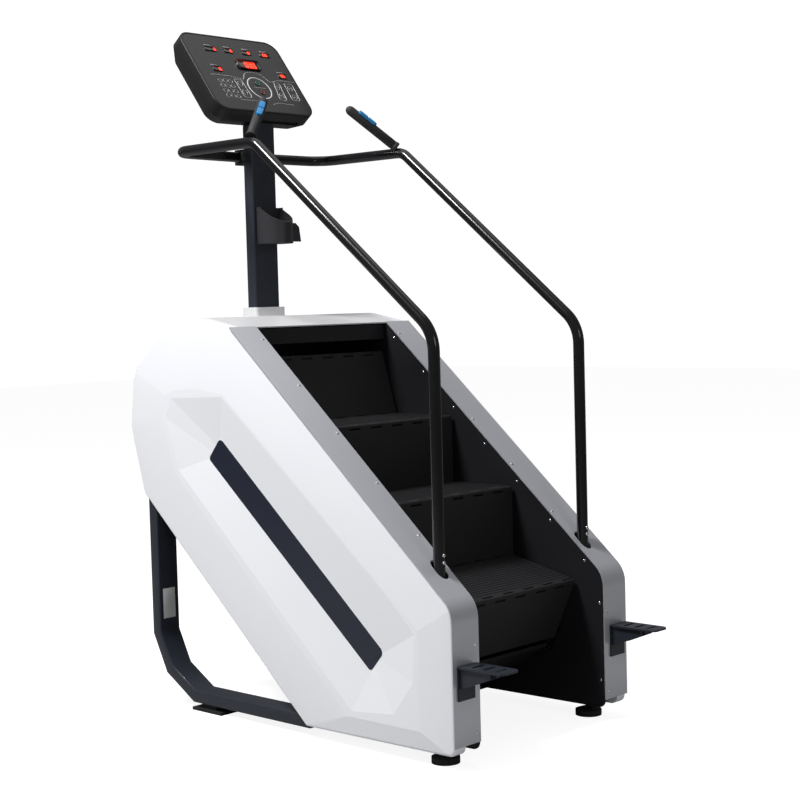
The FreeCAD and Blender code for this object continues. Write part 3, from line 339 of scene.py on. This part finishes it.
def made_of(name, tone, second, roughness, spread=0.1, grain=900, depth=0.02, metallic=0.0, coat=0.0,
            patches=6, speckle=0.3, lines=False, wave=0.3, shine=0.5):
    """Material with two tones, wandering roughness and a fine relief."""
    material = bpy.data.materials.new(name)
    material.use_nodes = True
    tree = material.node_tree
    shader = tree.nodes["Principled BSDF"]
    tint = add(tree, "Group", node_tree=TONE)
    tint.inputs["Tone"].default_value = (*tone, 1)
    tint.inputs["Second Tone"].default_value = (*second, 1)
    tint.inputs["Patch Scale"].default_value = patches
    tint.inputs["Speckle"].default_value = speckle
    tint.inputs["Roughness"].default_value = roughness
    tint.inputs["Roughness Spread"].default_value = spread
    relief = add(tree, "Group", node_tree=LINES if lines else GRAIN)
    if not lines:
        relief.inputs["Grain Scale"].default_value = grain
        relief.inputs["Wave"].default_value = wave
    bump = add(tree, "Bump")
    bump.inputs["Strength"].default_value = 1
    bump.inputs["Distance"].default_value = depth * mm
    shader.inputs["Metallic"].default_value = metallic
    shader.inputs["Specular IOR Level"].default_value = shine
    shader.inputs["Coat Weight"].default_value = coat
    shader.inputs["Coat Roughness"].default_value = 0.08
    link = tree.links.new
    link(tint.outputs["Color"], shader.inputs["Base Color"])
    link(tint.outputs["Roughness"], shader.inputs["Roughness"])
    link(relief.outputs["Height"], bump.inputs["Height"])
    link(bump.outputs["Normal"], shader.inputs["Normal"])
    return material


def glowing(name, tone, second, strength):
    """Lit segments behind a dark window."""
    material = made_of(name, tone, second, 0.4, patches=60)
    tree = material.node_tree
    shader = tree.nodes["Principled BSDF"]
    tint = next(node for node in tree.nodes if node.type == "GROUP" and node.node_tree == TONE)
    tree.links.new(tint.outputs["Color"], shader.inputs["Emission Color"])
    shader.inputs["Emission Strength"].default_value = strength
    return material


shell_white = made_of("shell_white", (0.83, 0.84, 0.87), (0.80, 0.81, 0.85), 0.3, 0.04, depth=0.003,
                      coat=0.25, patches=1.5, speckle=0.2, wave=0)
trim_silver = made_of("trim_silver", (0.55, 0.56, 0.60), (0.47, 0.48, 0.52), 0.36, 0.1, grain=2600,
                      depth=0.006, metallic=0.45, coat=0.15, patches=5, speckle=0.5)
top_silver = made_of("top_silver", (0.82, 0.82, 0.83), (0.75, 0.75, 0.77), 0.34, 0.08, grain=2600,
                     depth=0.006, metallic=0.3, coat=0.2, patches=4, speckle=0.4)
panel_black = made_of("panel_black", (0.010, 0.010, 0.012), (0.018, 0.018, 0.021), 0.42, 0.15,
                      depth=0.03, shine=0.22)
step_charcoal = made_of("step_charcoal", (0.010, 0.010, 0.011), (0.019, 0.019, 0.021), 0.55, 0.15,
                        grain=600, depth=0.08, patches=9, speckle=0.45, shine=0.22)
frame_black = made_of("frame_black", (0.016, 0.019, 0.027), (0.028, 0.032, 0.042), 0.38, 0.15,
                      grain=1300, depth=0.05, coat=0.1, shine=0.22)
rail_black = made_of("rail_black", (0.005, 0.005, 0.006), (0.008, 0.008, 0.009), 0.2, 0.02, grain=1800,
                     depth=0.001, coat=0.2, shine=0.25, patches=3, speckle=0.03)
grip_rubber = made_of("grip_rubber", (0.022, 0.022, 0.024), (0.034, 0.034, 0.036), 0.6, 0.12, grain=1500,
                      depth=0.05, shine=0.22)
button_blue = made_of("button_blue", (0.003, 0.15, 0.36), (0.004, 0.18, 0.43), 0.35, 0.08, grain=1600,
                      depth=0.012, patches=40)
console_black = made_of("console_black", (0.009, 0.009, 0.010), (0.015, 0.015, 0.016), 0.45, 0.12,
                        grain=1100, depth=0.06, shine=0.22)
console_overlay = made_of("console_overlay", (0.004, 0.004, 0.005), (0.007, 0.007, 0.008), 0.3, 0.06,
                          grain=2200, depth=0.01, coat=0.2, shine=0.22)
print_grey = made_of("print_grey", (0.42, 0.42, 0.44), (0.52, 0.52, 0.54), 0.5, patches=80)
window_dark = made_of("window_dark", (0.020, 0.017, 0.016), (0.030, 0.026, 0.024), 0.15, 0.04,
                      depth=0.002, patches=50)
digit_red = glowing("digit_red", (1.0, 0.03, 0.01), (0.9, 0.05, 0.02), 1.5)
key_green = made_of("key_green", (0.02, 0.17, 0.08), (0.03, 0.22, 0.10), 0.35, patches=60)
key_red = made_of("key_red", (0.30, 0.02, 0.03), (0.36, 0.03, 0.04), 0.35, patches=60)
holder_black = made_of("holder_black", (0.022, 0.022, 0.025), (0.036, 0.036, 0.040), 0.4, 0.12,
                       grain=1200, depth=0.03, shine=0.22)
steel_bright = made_of("steel_bright", (0.62, 0.63, 0.65), (0.50, 0.51, 0.53), 0.3, 0.15, depth=0.02,
                       metallic=1, lines=True)
steel_chain = made_of("steel_chain", (0.26, 0.25, 0.24), (0.14, 0.13, 0.12), 0.4, 0.25, depth=0.02,
                      metallic=1, patches=60)
screw_zinc = made_of("screw_zinc", (0.78, 0.79, 0.82), (0.66, 0.67, 0.70), 0.24, 0.12, depth=0.006,
                     metallic=1, patches=90)
motor_grey = made_of("motor_grey", (0.18, 0.19, 0.21), (0.24, 0.25, 0.27), 0.42, 0.1, depth=0.04)
belt_rubber = made_of("belt_rubber", (0.016, 0.016, 0.016), (0.028, 0.027, 0.026), 0.7, 0.15, lines=True,
                      depth=0.2, shine=0.22)
foot_rubber = made_of("foot_rubber", (0.012, 0.012, 0.013), (0.024, 0.024, 0.025), 0.7, 0.15, grain=700,
                      depth=0.08, shine=0.22)
pulley_alloy = made_of("pulley_alloy", (0.56, 0.57, 0.58), (0.46, 0.47, 0.48), 0.35, 0.12, depth=0.02,
                       metallic=1, lines=True)
decal_navy = made_of("decal_navy", (0.010, 0.013, 0.026), (0.015, 0.018, 0.032), 0.3, 0.06, depth=0.004,
                     coat=0.2, patches=5, shine=0.22)
plate_print = made_of("plate_print", (0.70, 0.71, 0.70), (0.60, 0.61, 0.60), 0.4, 0.1, patches=60)

OWN_FINISH = {
    "cover_white": shell_white, "trim_silver": trim_silver, "panel_black": panel_black,
    "step_charcoal": step_charcoal, "frame_black": frame_black, "rail_black": rail_black,
    "grip_rubber": grip_rubber, "button_blue": button_blue, "console_black": console_black,
    "console_overlay": console_overlay, "key_green": key_green, "key_red": key_red,
    "holder_black": holder_black, "steel_bright": steel_bright, "steel_chain": steel_chain,
    "screw_zinc": screw_zinc, "motor_grey": motor_grey, "belt_rubber": belt_rubber,
    "foot_rubber": foot_rubber, "pulley_alloy": pulley_alloy,
}
for subpart in frame["record"]["subparts"]:
    node = nodes[subpart["node"]]
    node.data.materials.clear()
    node.data.materials.append(OWN_FINISH[subpart["material_slot"]])


# --- Side housings --------------------------------------------------------------------------------

pitch_run, pitch_rise = 230, 203
front, header_y, low_front_z = -88, 735, 38
cover_edge, cover_inner = 384.5, 332
slope = math.atan2(pitch_rise, pitch_run)
cover_lift = 31
dish_depth, crown = 17, 11


def slope_line(y, lift):
    """Height of the housings' sloping edge, a lift above the line of the step noses."""
    return 658 + (y - 228) * math.tan(slope) + lift / math.cos(slope)


cover_outline = [
    (front, low_front_z, 22), (467, 33, 12), (1158, 645, 30), (1212, 845, 150), (1190, 1020, 110),
    (1040, 1148, 70), (900, 1180, 150),
    (header_y, slope_line(header_y, cover_lift), 12), (front, slope_line(front, cover_lift), 75),
]
dish_outline = [
    (769, 949), (138, 444), (34, 345), (44, 215), (117, 122), (272, 108), (973, 727), (1026, 880),
    (1000, 941),
]
dish_floor = [
    (800, 828), (172, 289), (161, 279), (178, 260), (195, 240), (212, 221), (853, 765), (835, 786),
    (818, 807),
]
strip_outline = [(800, 828, 16), (853, 765, 12), (212, 221, 12), (161, 279, 16)]
crown_outline = [
    (24, 92), (290, 92), (990, 712), (1044, 880), (1024, 948), (1000, 962), (900, 972), (765, 957), (22, 358),
]


def lies_at(x):
    """Test for what lies in the side view's plane at x."""
    return lambda part: all(abs(vert.co.x - x * mm) < 1e-5 for vert in part.verts)


def faceted_solid(first, second, depth):
    """Solid that slopes from one outline to another and is then drawn out from the second by a depth."""
    solid = path("first", first, True)
    solid = join(solid, [path("second", second, True)])
    bpy.ops.mesh.select_all(action="SELECT")
    bpy.ops.mesh.bridge_edge_loops()
    for place in (first[0][0].x / mm, second[0][0].x / mm):
        pick("EDGE", lies_at(place))
        bpy.ops.mesh.edge_face_add()
    pick("FACE", lies_at(second[0][0].x / mm))
    extrude(Vector((depth * mm, 0, 0)))
    bpy.ops.mesh.select_all(action="SELECT")
    bpy.ops.mesh.normals_make_consistent(inside=False)
    return solid


def outside(outline, past=6):
    """Outline moved out past the cover's own, so that the cut clears its edge."""
    middle_y, middle_z = 300, 400
    return [(y + (past if y > middle_y else -past), z + (past if z > middle_z else -past))
            for y, z, _ in outline]


def on_face(edge):
    """Whether an edge lies on the shell's outer face or in its dish."""
    deepest = (cover_edge - dish_depth - 0.5) * mm
    return all(abs(vert.co.x) > deepest for vert in edge.verts)


def side_shell(name, side):
    """Moulded side shell: crowned face, rounded edge, and a faceted dish that falls to the decal's strip."""
    through_shell, past_face, rim_radius = 60, 5, 8
    face, shoulder, floor = (side * (cover_edge - low) for low in (0, crown, dish_depth))
    inwards = Vector((side * (cover_inner - cover_edge) * mm, 0, 0))
    shell = plate(name, side_view(face, cover_outline), inwards, 16)
    crowned = faceted_solid(
        side_view(face, crown_outline), side_view(shoulder, outside(cover_outline)), -side * through_shell)
    cut_out(shell, crowned, "INTERSECT")
    dish = faceted_solid(side_view(floor, dish_floor), side_view(face, dish_outline), side * past_face)
    cut_out(shell, dish)
    pick("EDGE", lambda edge: on_face(edge) and 0.04 < edge.calc_face_angle(0) < 0.5)
    bpy.ops.mesh.mark_sharp()
    soften_edges(lambda edge: on_face(edge) and edge.calc_face_angle(0) > 1, rim_radius, 8)
    return shell


def decal(name, side):
    """Plain dark strip on the floor of the dish."""
    proud, thickness = 0.4, 0.3
    top = side * (cover_edge - dish_depth + proud)
    return plate(name, side_view(top, strip_outline), Vector((-side * thickness * mm, 0, 0)))


for side, name in ((-1, "left"), (1, "right")):
    shell = side_shell(name + "_side_shell", side)
    finish(shell, shell_white, "machine", [name + "_side_cover"])
    finish(decal(name + "_decal", side), decal_navy, "machine")
for label in ("top_cover", "mast_collar"):
    nodes[label].data.materials[0] = top_silver


# --- Handrails and hoop ---------------------------------------------------------------------------

rail_x, rail_radius, post_y = 310, 16, 7
hoop_y, hoop_z, rail_end = 1058, 1674, 760


def handrail(name, side):
    """Post, sloping rail and short level end bent from one tube."""
    corners = [(post_y, 392, 0), (post_y, 1128, 110), (676, hoop_z, 60), (rail_end, hoop_z, 0)]
    return tube(name, side_view(side * rail_x, corners), rail_radius, 18, 8)


def rear_hoop(name):
    """Tube behind the mast that joins the two rails."""
    bow = hoop_y - 20
    corners = [(-rail_x, rail_end, 0), (4 - rail_x, bow, 70), (0, hoop_y, 900), (rail_x - 4, bow, 70),
               (rail_x, rail_end, 0)]
    return tube(name, [(spot(x, y, hoop_z), radius) for x, y, radius in corners], rail_radius, 18, 8)


def domed_screw(name, place, way, radius):
    """Button screw head with a hexagon socket."""
    head = begin("cylinder", name, vertices=20, radius=radius * mm, depth=radius * 0.7 * mm)
    soften_edges(lambda edge: edge.verts[0].co.z > 0 and edge.verts[1].co.z > 0, radius * 0.35, 3)
    pick("FACE", lambda face: face.normal.z > 0.99)
    bpy.ops.mesh.inset(thickness=radius * 0.25 * mm)
    bpy.ops.mesh.inset(thickness=radius * 0.03 * mm, depth=-radius * 0.3 * mm)
    turn = Vector(way).to_track_quat("Z", "Y").to_matrix().to_4x4()
    return turned_into(head, Matrix.Translation(place) @ turn)


for side, name in ((-1, "left"), (1, "right")):
    finish(handrail(name + "_rail_tube", side), rail_black, "machine", [name + "_handrail"])
    for number, z in ((1, 527), (2, 546)):
        seat = spot(side * rail_x, post_y - rail_radius - 1, z)
        bolt = domed_screw("%s_rail_bolt_%d" % (name, number), seat, (0, -1, 0), 5)
        finish(bolt, screw_zinc, "machine")
finish(rear_hoop("hoop_tube"), rail_black, "machine", ["rear_hoop"])


# --- Steps ----------------------------------------------------------------------------------------

step_half, rib_count = 258, 15
mat_margin, mat_thickness, mat_seat = 14, 0.4, 6.8
rib_inset, rib_height = 0.8, 1.6


def tread_ribs(name, nose, back):
    """Ribbed mat on a tread: rounded bars across the machine."""
    length = (back - nose).length
    ahead = (back - nose).normalized()
    up = Vector((1, 0, 0)).cross(ahead)
    mat = begin("grid", name, x_subdivisions=1, y_subdivisions=2 * rib_count, size=1)
    bpy.ops.transform.resize(value=(2 * step_half * mm, length - 2 * mat_margin * mm, 1))
    extrude(Vector((0, 0, mat_thickness * mm)))
    mesh = bmesh.from_edit_mesh(mat.data)
    tops = [face for face in mesh.faces if face.calc_center_median().z > 0.75 * mat_thickness * mm]
    rows = sorted(tops, key=lambda face: face.calc_center_median().y)
    bars = {face.index for face in rows[1::2]}
    pick("FACE", lambda face: face.index in bars)
    bpy.ops.mesh.inset(thickness=rib_inset * mm, use_individual=True)
    bpy.ops.transform.translate(value=(0, 0, rib_height * mm))
    place = Matrix((Vector((1, 0, 0)), ahead, up)).transposed().to_4x4()
    place.translation = (nose + back) / 2 + up * mat_seat * mm
    return turned_into(mat, place)


def hinge_line(run, rise):
    """Nose of a tread, a run and a rise away from the lowest climbing nose."""
    return spot(0, 235 + run, 448 + rise)


noses = {1: hinge_line(pitch_run, 2 * pitch_rise), 2: hinge_line(0, pitch_rise)}
for number, nose in noses.items():
    mat = tread_ribs("tread_mat_%d" % number, nose, nose + Vector((0, pitch_run * mm, 0)))
    finish(mat, step_charcoal, "climbing_steps")
lowest_nose = spot(0, 11.2, 394.8)
lowest_mat = tread_ribs("tread_mat_3", lowest_nose, hinge_line(0, 0))
finish(lowest_mat, step_charcoal, "tread_3_hinged")


# --- Console --------------------------------------------------------------------------------------

lean = math.radians(53)
console_x, console_up, console_corner = 202.5, 162, 46
console_side, console_deep = 45, 90
console_place = Matrix.Translation(spot(0, 1041, 1933)) @ Matrix.Rotation(lean, 4, "X")
well_rim, well_depth = 3, 5.4
print_out, print_shift = -0.9, 19
key_x, key_radius = 21, 10.6


def face_point(x, up, out=0.0):
    """Point on the console's face, out of it by a height."""
    return Vector((x * mm, up * mm, out * mm))


def face_outline(x0, up0, x1, up1, radius):
    """Rounded oblong on the console's face."""
    return [(face_point(x, up), radius) for x, up in ((x0, up0), (x1, up0), (x1, up1), (x0, up1))]


def console_body(name):
    """Housing: rounded box with a tapered back, a face well and a slot in its lower wall."""
    body = plate(name, face_outline(-console_x, -console_up, console_x, console_up, console_corner),
                 Vector((0, 0, -console_side * mm)), 14)
    pick("FACE", lambda face: face.normal.z < -0.9)
    extrude(Vector((0, 0, (console_side - console_deep) * mm)))
    bpy.ops.transform.resize(value=(0.88, 0.85, 1))
    soften_edges(lambda edge: all(vert.co.z > -1e-5 for vert in edge.verts), 4, 4)
    soften_edges(lambda edge: all(vert.co.z < -(console_deep - 0.1) * mm for vert in edge.verts), 8, 4)
    pick("FACE", lambda face: face.normal.z > 0.9999)
    bpy.ops.mesh.inset(thickness=well_rim * mm)
    bpy.ops.mesh.inset(thickness=0.3 * mm, depth=-well_depth * mm)
    slot_corners = ((-56, -46), (146, -46), (146, -32), (-56, -32))
    slot = plate("slot", [(face_point(x, -console_up - 2, out), 5) for x, out in slot_corners],
                 Vector((0, 8 * mm, 0)))
    cut_out(body, slot)
    return turned_into(body, console_place)


def printed_line(name, corners, width=0.7):
    """Thin printed line on the face."""
    points = [(face_point(x, up, print_out), radius) for x, up, radius in corners]
    return tube(name, points, width, 6, 1)


def printed_ring(name, x, up, across, high, width=0.7):
    """Oval outline of a printed key."""
    ring = begin("torus", name, major_segments=28, minor_segments=6, major_radius=1, minor_radius=0.05)
    bpy.ops.transform.resize(value=(across / 2 * mm, high / 2 * mm, width * 12 * mm))
    bpy.ops.transform.translate(value=face_point(x, up, print_out))
    return ring


def bar(name, x, up, wide, high, out=-0.8, thick=0.4):
    """Small flat block on the face."""
    block = begin("cube", name, size=1)
    bpy.ops.transform.resize(value=(wide * mm, high * mm, thick * mm))
    bpy.ops.mesh.bevel(offset=min(wide, high) * 0.18 * mm, segments=2)
    bpy.ops.mesh.select_all(action="SELECT")
    bpy.ops.transform.translate(value=face_point(x, up, out))
    return block


SEGMENTS = {"0": "abcdef", "1": "bc", "2": "abdeg", "4": "bcfg", "8": "abcdefg"}
# Place of each segment, in widths across and half heights up, and whether it lies level.
SEGMENT_PLACES = {"a": (0, 1, 1), "b": (0.5, 0.5, 0), "c": (0.5, -0.5, 0), "d": (0, -1, 1),
                  "e": (-0.5, -0.5, 0), "f": (-0.5, 0.5, 0), "g": (0, 0, 1)}


def lit_number(name, text, x, up, high, stroke):
    """Lit seven-segment figures."""
    wide = high * 0.5
    lit = []
    for place, figure in enumerate(text):
        left = x + (place - (len(text) - 1) / 2) * high * 0.72
        for letter in SEGMENTS[figure]:
            across, rise, level = SEGMENT_PLACES[letter]
            size = (wide * 0.9, stroke) if level else (stroke, high / 2 * 0.86)
            lit.append(bar(name, left + across * wide, up + rise * high / 2, *size, out=-0.45, thick=0.25))
    return join(lit[0], lit[1:])


def console_windows():
    """Dark windows over the figures."""
    places = [(-99, 97, 46, 17), (-25, 98, 34, 17), (50, 98, 36, 17), (127, 97, 42, 17),
              (27, 42, 92, 38), (-116, 11, 34, 19), (154, 9, 32, 19)]
    panes = [bar("window", x, up, wide, high, out=print_out) for x, up, wide, high in places]
    return join(panes[0], panes[1:])


def console_figures():
    """Lit figures, one group to a window."""
    groups = [("0", -82, 97, 11, 3), ("0", -15, 98, 11, 3), ("12", 56, 98, 11, 3), ("00", 127, 97, 12, 3.4),
              ("108", 27, 42, 27, 6.5), ("0", -106, 11, 12, 3.2), ("00", 154, 9, 11, 3.2)]
    lit = [lit_number("figures", *entry) for entry in groups]
    return join(lit[0], lit[1:])


def console_lines():
    """Printed lines: the sweep over the keys, the round key frame, and the key outlines."""
    ring_x, ring_up = print_shift, -56
    lines = [
        printed_line("sweep", [(-158, -15, 0), (-80, -15, 60), (-30, -26, 12), (-14, 4, 30), (22, 14, 36),
                               (60, 4, 30), (78, -26, 12), (118, -13, 40), (194, -13, 0)]),
        printed_line("base", [(-90, -114, 0), (-26, -114, 30), (4, -124, 0)]),
        printed_line("base", [(38, -124, 0), (62, -114, 30), (130, -117, 0)]),
        printed_line("dash", [(ring_x - 22, ring_up + 1, 0), (ring_x + 26, ring_up + 1, 0)]),
        printed_ring("frame", ring_x, ring_up, 88, 88, 1.6),
        printed_line("frame", [(96, -24, 0), (118, -24, 8), (110, -100, 8), (80, -100, 8), (96, -24, 0)]),
        printed_line("frame", [(140, -24, 0), (174, -24, 8), (170, -96, 8), (136, -96, 8), (140, -24, 8)]),
        printed_line("frame", [(-72, -27, 0), (-42, -27, 8), (-36, -102, 8), (-68, -102, 8), (-72, -27, 0)]),
    ]
    for row in range(4):
        for column in range(3):
            lines.append(printed_ring("number_key", -133 + 20.5 * column, -38 - 21 * row, 16, 15))
    for x in (99, 155, -55):
        for up in (-44, -80):
            lines.append(printed_ring("round_key", x, up, 18, 20))
    for x, up in ((-104, 113), (-26, 114), (50, 114), (126, 113), (-124, 27), (150, 25)):
        lines.append(bar("caption", x, up, 26, 1.6))
    for up in (-44, -80):
        for x in (99, 155):
            lines.append(bar("key_mark", x, up, 7, 1.4))
    return join(lines[0], lines[1:])


def key_cap(name, x, up):
    """Round key with a soft edge and a shallow hollow on top."""
    cap = begin("cylinder", name, vertices=40, radius=key_radius * mm, depth=9 * mm)
    soften_edges(lambda edge: all(vert.co.z > 0 for vert in edge.verts), 1.2, 3)
    pick("FACE", lambda face: face.normal.z > 0.99)
    bpy.ops.mesh.inset(thickness=2 * mm, depth=-0.5 * mm)
    return turned_into(cap, console_place @ Matrix.Translation(face_point(x, up, -3.6)))


def key_rim(name, x, up):
    """Coloured ring printed on a key."""
    rim = begin("torus", name, major_segments=32, minor_segments=8, major_radius=7 * mm,
                minor_radius=0.9 * mm)
    bpy.ops.transform.resize(value=(1, 1, 0.3))
    return turned_into(rim, console_place @ Matrix.Translation(face_point(x, up, 0.5)))


finish(console_body("console_body"), console_black, "machine", ["console_housing"], 30)
for make, name, material in ((console_windows, "console_windows", window_dark),
                             (console_figures, "console_figures", digit_red),
                             (console_lines, "console_print", print_grey)):
    piece = turned_into(make(), console_place)
    piece.name = name
    finish(piece, material, "machine")
for name, up, material, slot in (("start_key", -36, key_green, "key_green"),
                                 ("stop_key", -74, key_red, "key_red")):
    finish(key_cap(name + "_cap", key_x, up), console_overlay, name, [name])
    finish(key_rim(name + "_rim", key_x, up), material, name)


# --- Hand grips and speed rockers -----------------------------------------------------------------

grip_radius, grip_length = 18, 205
rocker_at, rocker_half, rocker_width = 128, 34, 9


def grip_place(side):
    """Frame with Z along the grip and X towards the climber's thumb."""
    foot, tip = spot(side * (rail_x - 6), 696, hoop_z + 17), spot(side * 171, 781, 1816)
    along = (tip - foot).normalized()
    thumb = Vector((0, -0.55, 0.83))
    thumb = (thumb - along * thumb.dot(along)).normalized()
    place = Matrix((thumb, along.cross(thumb), along)).transposed().to_4x4()
    place.translation = foot
    return place


def thumb_oval(name, half_wide, half_long, near, far):
    """Solid with straight sides and round ends, standing out towards the thumb."""
    ends = [(-half_wide, rocker_at - half_long), (half_wide, rocker_at - half_long),
            (half_wide, rocker_at + half_long), (-half_wide, rocker_at + half_long)]
    corners = [(Vector((near * mm, y * mm, z * mm)), half_wide - 0.1) for y, z in ends]
    return plate(name, corners, Vector(((far - near) * mm, 0, 0)), 10)


def hand_grip(name, side):
    """Moulded grip with a base collar, a domed end and an oval well for the rocker."""
    grip = begin("circle", name, vertices=40, radius=(grip_radius - 2) * mm, fill_type="NGON")
    profile = [(0.5, 1.0), (9, 1.0), (1.2, 0.93), (3, 0.93), (1.2, 1.06), (grip_length - 38, 1.0)]
    for step, scale in profile:
        extrude(Vector((0, 0, step * mm)))
        bpy.ops.transform.resize(value=(scale, scale, 1))
    dome_rings = 7
    for number in range(1, dome_rings):
        angle = math.radians(90 * number / dome_rings)
        before = math.radians(90 * (number - 1) / dome_rings)
        extrude(Vector((0, 0, grip_radius * (math.sin(angle) - math.sin(before)) * mm)))
        scale = math.cos(angle) / math.cos(before)
        bpy.ops.transform.resize(value=(scale, scale, 1))
    cut_out(grip, thumb_oval("well", rocker_width + 1, rocker_half + 1, grip_radius - 8, grip_radius + 4))
    return turned_into(grip, grip_place(side))


def speed_rocker(name, side):
    """Two half ovals with a dark line between them."""
    rocker = thumb_oval(name, rocker_width, rocker_half, grip_radius - 5, grip_radius + 2)
    notch = begin_box("notch", (grip_radius + 1, 0, rocker_at), (5, 2 * rocker_width + 4, 2.4))
    cut_out(rocker, notch)
    soften_edges(lambda edge: all(vert.co.x > (grip_radius + 1.9) * mm for vert in edge.verts), 1.6, 3)
    return turned_into(rocker, grip_place(side))


for side, name in ((-1, "left"), (1, "right")):
    finish(hand_grip(name + "_hand_grip", side), grip_rubber, "machine", [name + "_grip"])
    finish(speed_rocker(name + "_rocker_cap", side), button_blue, name + "_rocker",
           [name + "_speed_rocker"])


# --- Rear stand -----------------------------------------------------------------------------------

leg_inner, leg_width, leg_half = 282, 76, 18
leg_y = 1140
leg_path = [(leg_y, 762), (leg_y, 215), (1085, 108), (970, 40), (470, 40)]


def leg_sides():
    """The two edges of a bar along the leg's path, with mitred bends."""
    outer, inner = [], []
    for number, (y, z) in enumerate(leg_path):
        ahead = Vector(leg_path[min(number + 1, len(leg_path) - 1)]) - Vector((y, z))
        back = Vector((y, z)) - Vector(leg_path[max(number - 1, 0)])
        normals = [Vector((way.y, -way.x)).normalized() for way in (ahead, back) if way.length > 0]
        total = normals[0] + normals[-1]
        shift = total * (leg_half / (1 + normals[0].dot(normals[-1])))
        outer.append((y - shift.x, z - shift.y))
        inner.append((y + shift.x, z + shift.y))
    return outer + inner[::-1]


def rear_leg(name, side):
    """Flat tube bent to the leg's path, with rounded long edges."""
    start = side * leg_inner
    leg = plate(name, side_view(start, leg_sides()), Vector((side * leg_width * mm, 0, 0)))
    soften_edges(lambda edge: lies_at(start)(edge) or lies_at(side * (leg_inner + leg_width))(edge), 4, 3)
    return leg


def rating_plate():
    """Small blank plate on the left leg."""
    middle = spot(-(leg_inner + leg_width / 2), leg_y - leg_half - 0.3, 303)
    plate_body = begin("cube", "rating_plate", size=1)
    bpy.ops.transform.resize(value=(46 * mm, 0.6 * mm, 92 * mm))
    bpy.ops.mesh.bevel(offset=0.2 * mm, segments=2)
    bpy.ops.transform.translate(value=middle)
    return plate_body


crossbar = begin_box("crossbar", (0, leg_y, 782), (2 * leg_inner + 2, 2 * leg_half, 40))
bpy.ops.transform.translate(value=(0, feet_y, 0))
soften_edges(lambda edge: abs(edge.verts[0].co.x - edge.verts[1].co.x) > 0.1, 4, 3)
stand = join(rear_leg("stand_frame", -1), [rear_leg("right_leg", 1), crossbar])
finish(stand, frame_black, "machine", ["rear_stand"])
finish(rating_plate(), plate_print, "machine")


# --- Setting --------------------------------------------------------------------------------------

def brighter_when_seen(tree, socket, lighting, seen):
    """Give a strength one value for lighting and another for what is looked at directly."""
    rays = tree.nodes.new("ShaderNodeLightPath")
    level = tree.nodes.new("ShaderNodeMapRange")
    level.inputs["To Min"].default_value = lighting
    level.inputs["To Max"].default_value = seen
    tree.links.new(rays.outputs["Is Camera Ray"], level.inputs["Value"])
    tree.links.new(level.outputs[0], socket)


def studio_floor():
    """Plain pale floor."""
    floor = begin("plane", "floor", size=40, location=(0, 0, 0))
    bpy.ops.object.mode_set(mode="OBJECT")
    material = made_of("floor_pale", (0.42, 0.42, 0.42), (0.40, 0.40, 0.40), 0.8, 0.05, patches=1)
    shader = material.node_tree.nodes["Principled BSDF"]
    shader.inputs["Emission Color"].default_value = (1, 1, 1, 1)
    brighter_when_seen(material.node_tree, shader.inputs["Emission Strength"], 0.0, 0.88)
    floor.data.materials.append(material)


def soft_light(name, place, target, size, power):
    """Large soft lamp aimed at a point."""
    lamp = bpy.data.lights.new(name, "AREA")
    lamp.shape = "RECTANGLE"
    lamp.size, lamp.size_y = size
    lamp.energy = power
    holder = bpy.data.objects.new(name, lamp)
    bpy.context.scene.collection.objects.link(holder)
    holder.location = place
    aim = Vector(target) - Vector(place)
    holder.rotation_euler = aim.to_track_quat("-Z", "Y").to_euler()


def studio():
    """Pale surroundings and three soft lamps."""
    world = bpy.data.worlds.new("studio")
    world.use_nodes = True
    backdrop = world.node_tree.nodes["Background"]
    backdrop.inputs[0].default_value = (1, 1, 1, 1)
    brighter_when_seen(world.node_tree, backdrop.inputs[1], 0.2, 1.05)
    bpy.context.scene.world = world
    soft_light("key_light", (-2.6, 0.9, 4.9), (0, 0, 0.7), (1.0, 1.0), 330)
    soft_light("front_light", (-0.5, -4.6, 2.6), (0, 0, 0.9), (1.6, 1.2), 24)
    soft_light("top_light", (0.6, 0.4, 4.6), (0, 0, 0.9), (3.0, 3.0), 30)


def viewpoint():
    """Camera at standing height in front of the left corner."""
    yaw, pitch, roll = 0.8153, -0.0589, -0.0271
    ahead = Vector((math.sin(yaw) * math.cos(pitch), math.cos(yaw) * math.cos(pitch), math.sin(pitch)))
    level = Vector((math.cos(yaw), -math.sin(yaw), 0))
    upright = level.cross(ahead)
    right = math.cos(roll) * level + math.sin(roll) * upright
    up = -math.sin(roll) * level + math.cos(roll) * upright
    lens = bpy.data.cameras.new("camera")
    lens.lens, lens.sensor_width = 72.93, 36
    camera = bpy.data.objects.new("camera", lens)
    bpy.context.scene.collection.objects.link(camera)
    turn = Matrix((right, up, -ahead)).transposed().to_4x4()
    camera.matrix_world = Matrix.Translation((-3.4251, -3.2839, 1.2010)) @ turn
    bpy.context.scene.camera = camera


studio_floor()
studio()
viewpoint()
bpy.context.scene.view_settings.view_transform = "Standard"
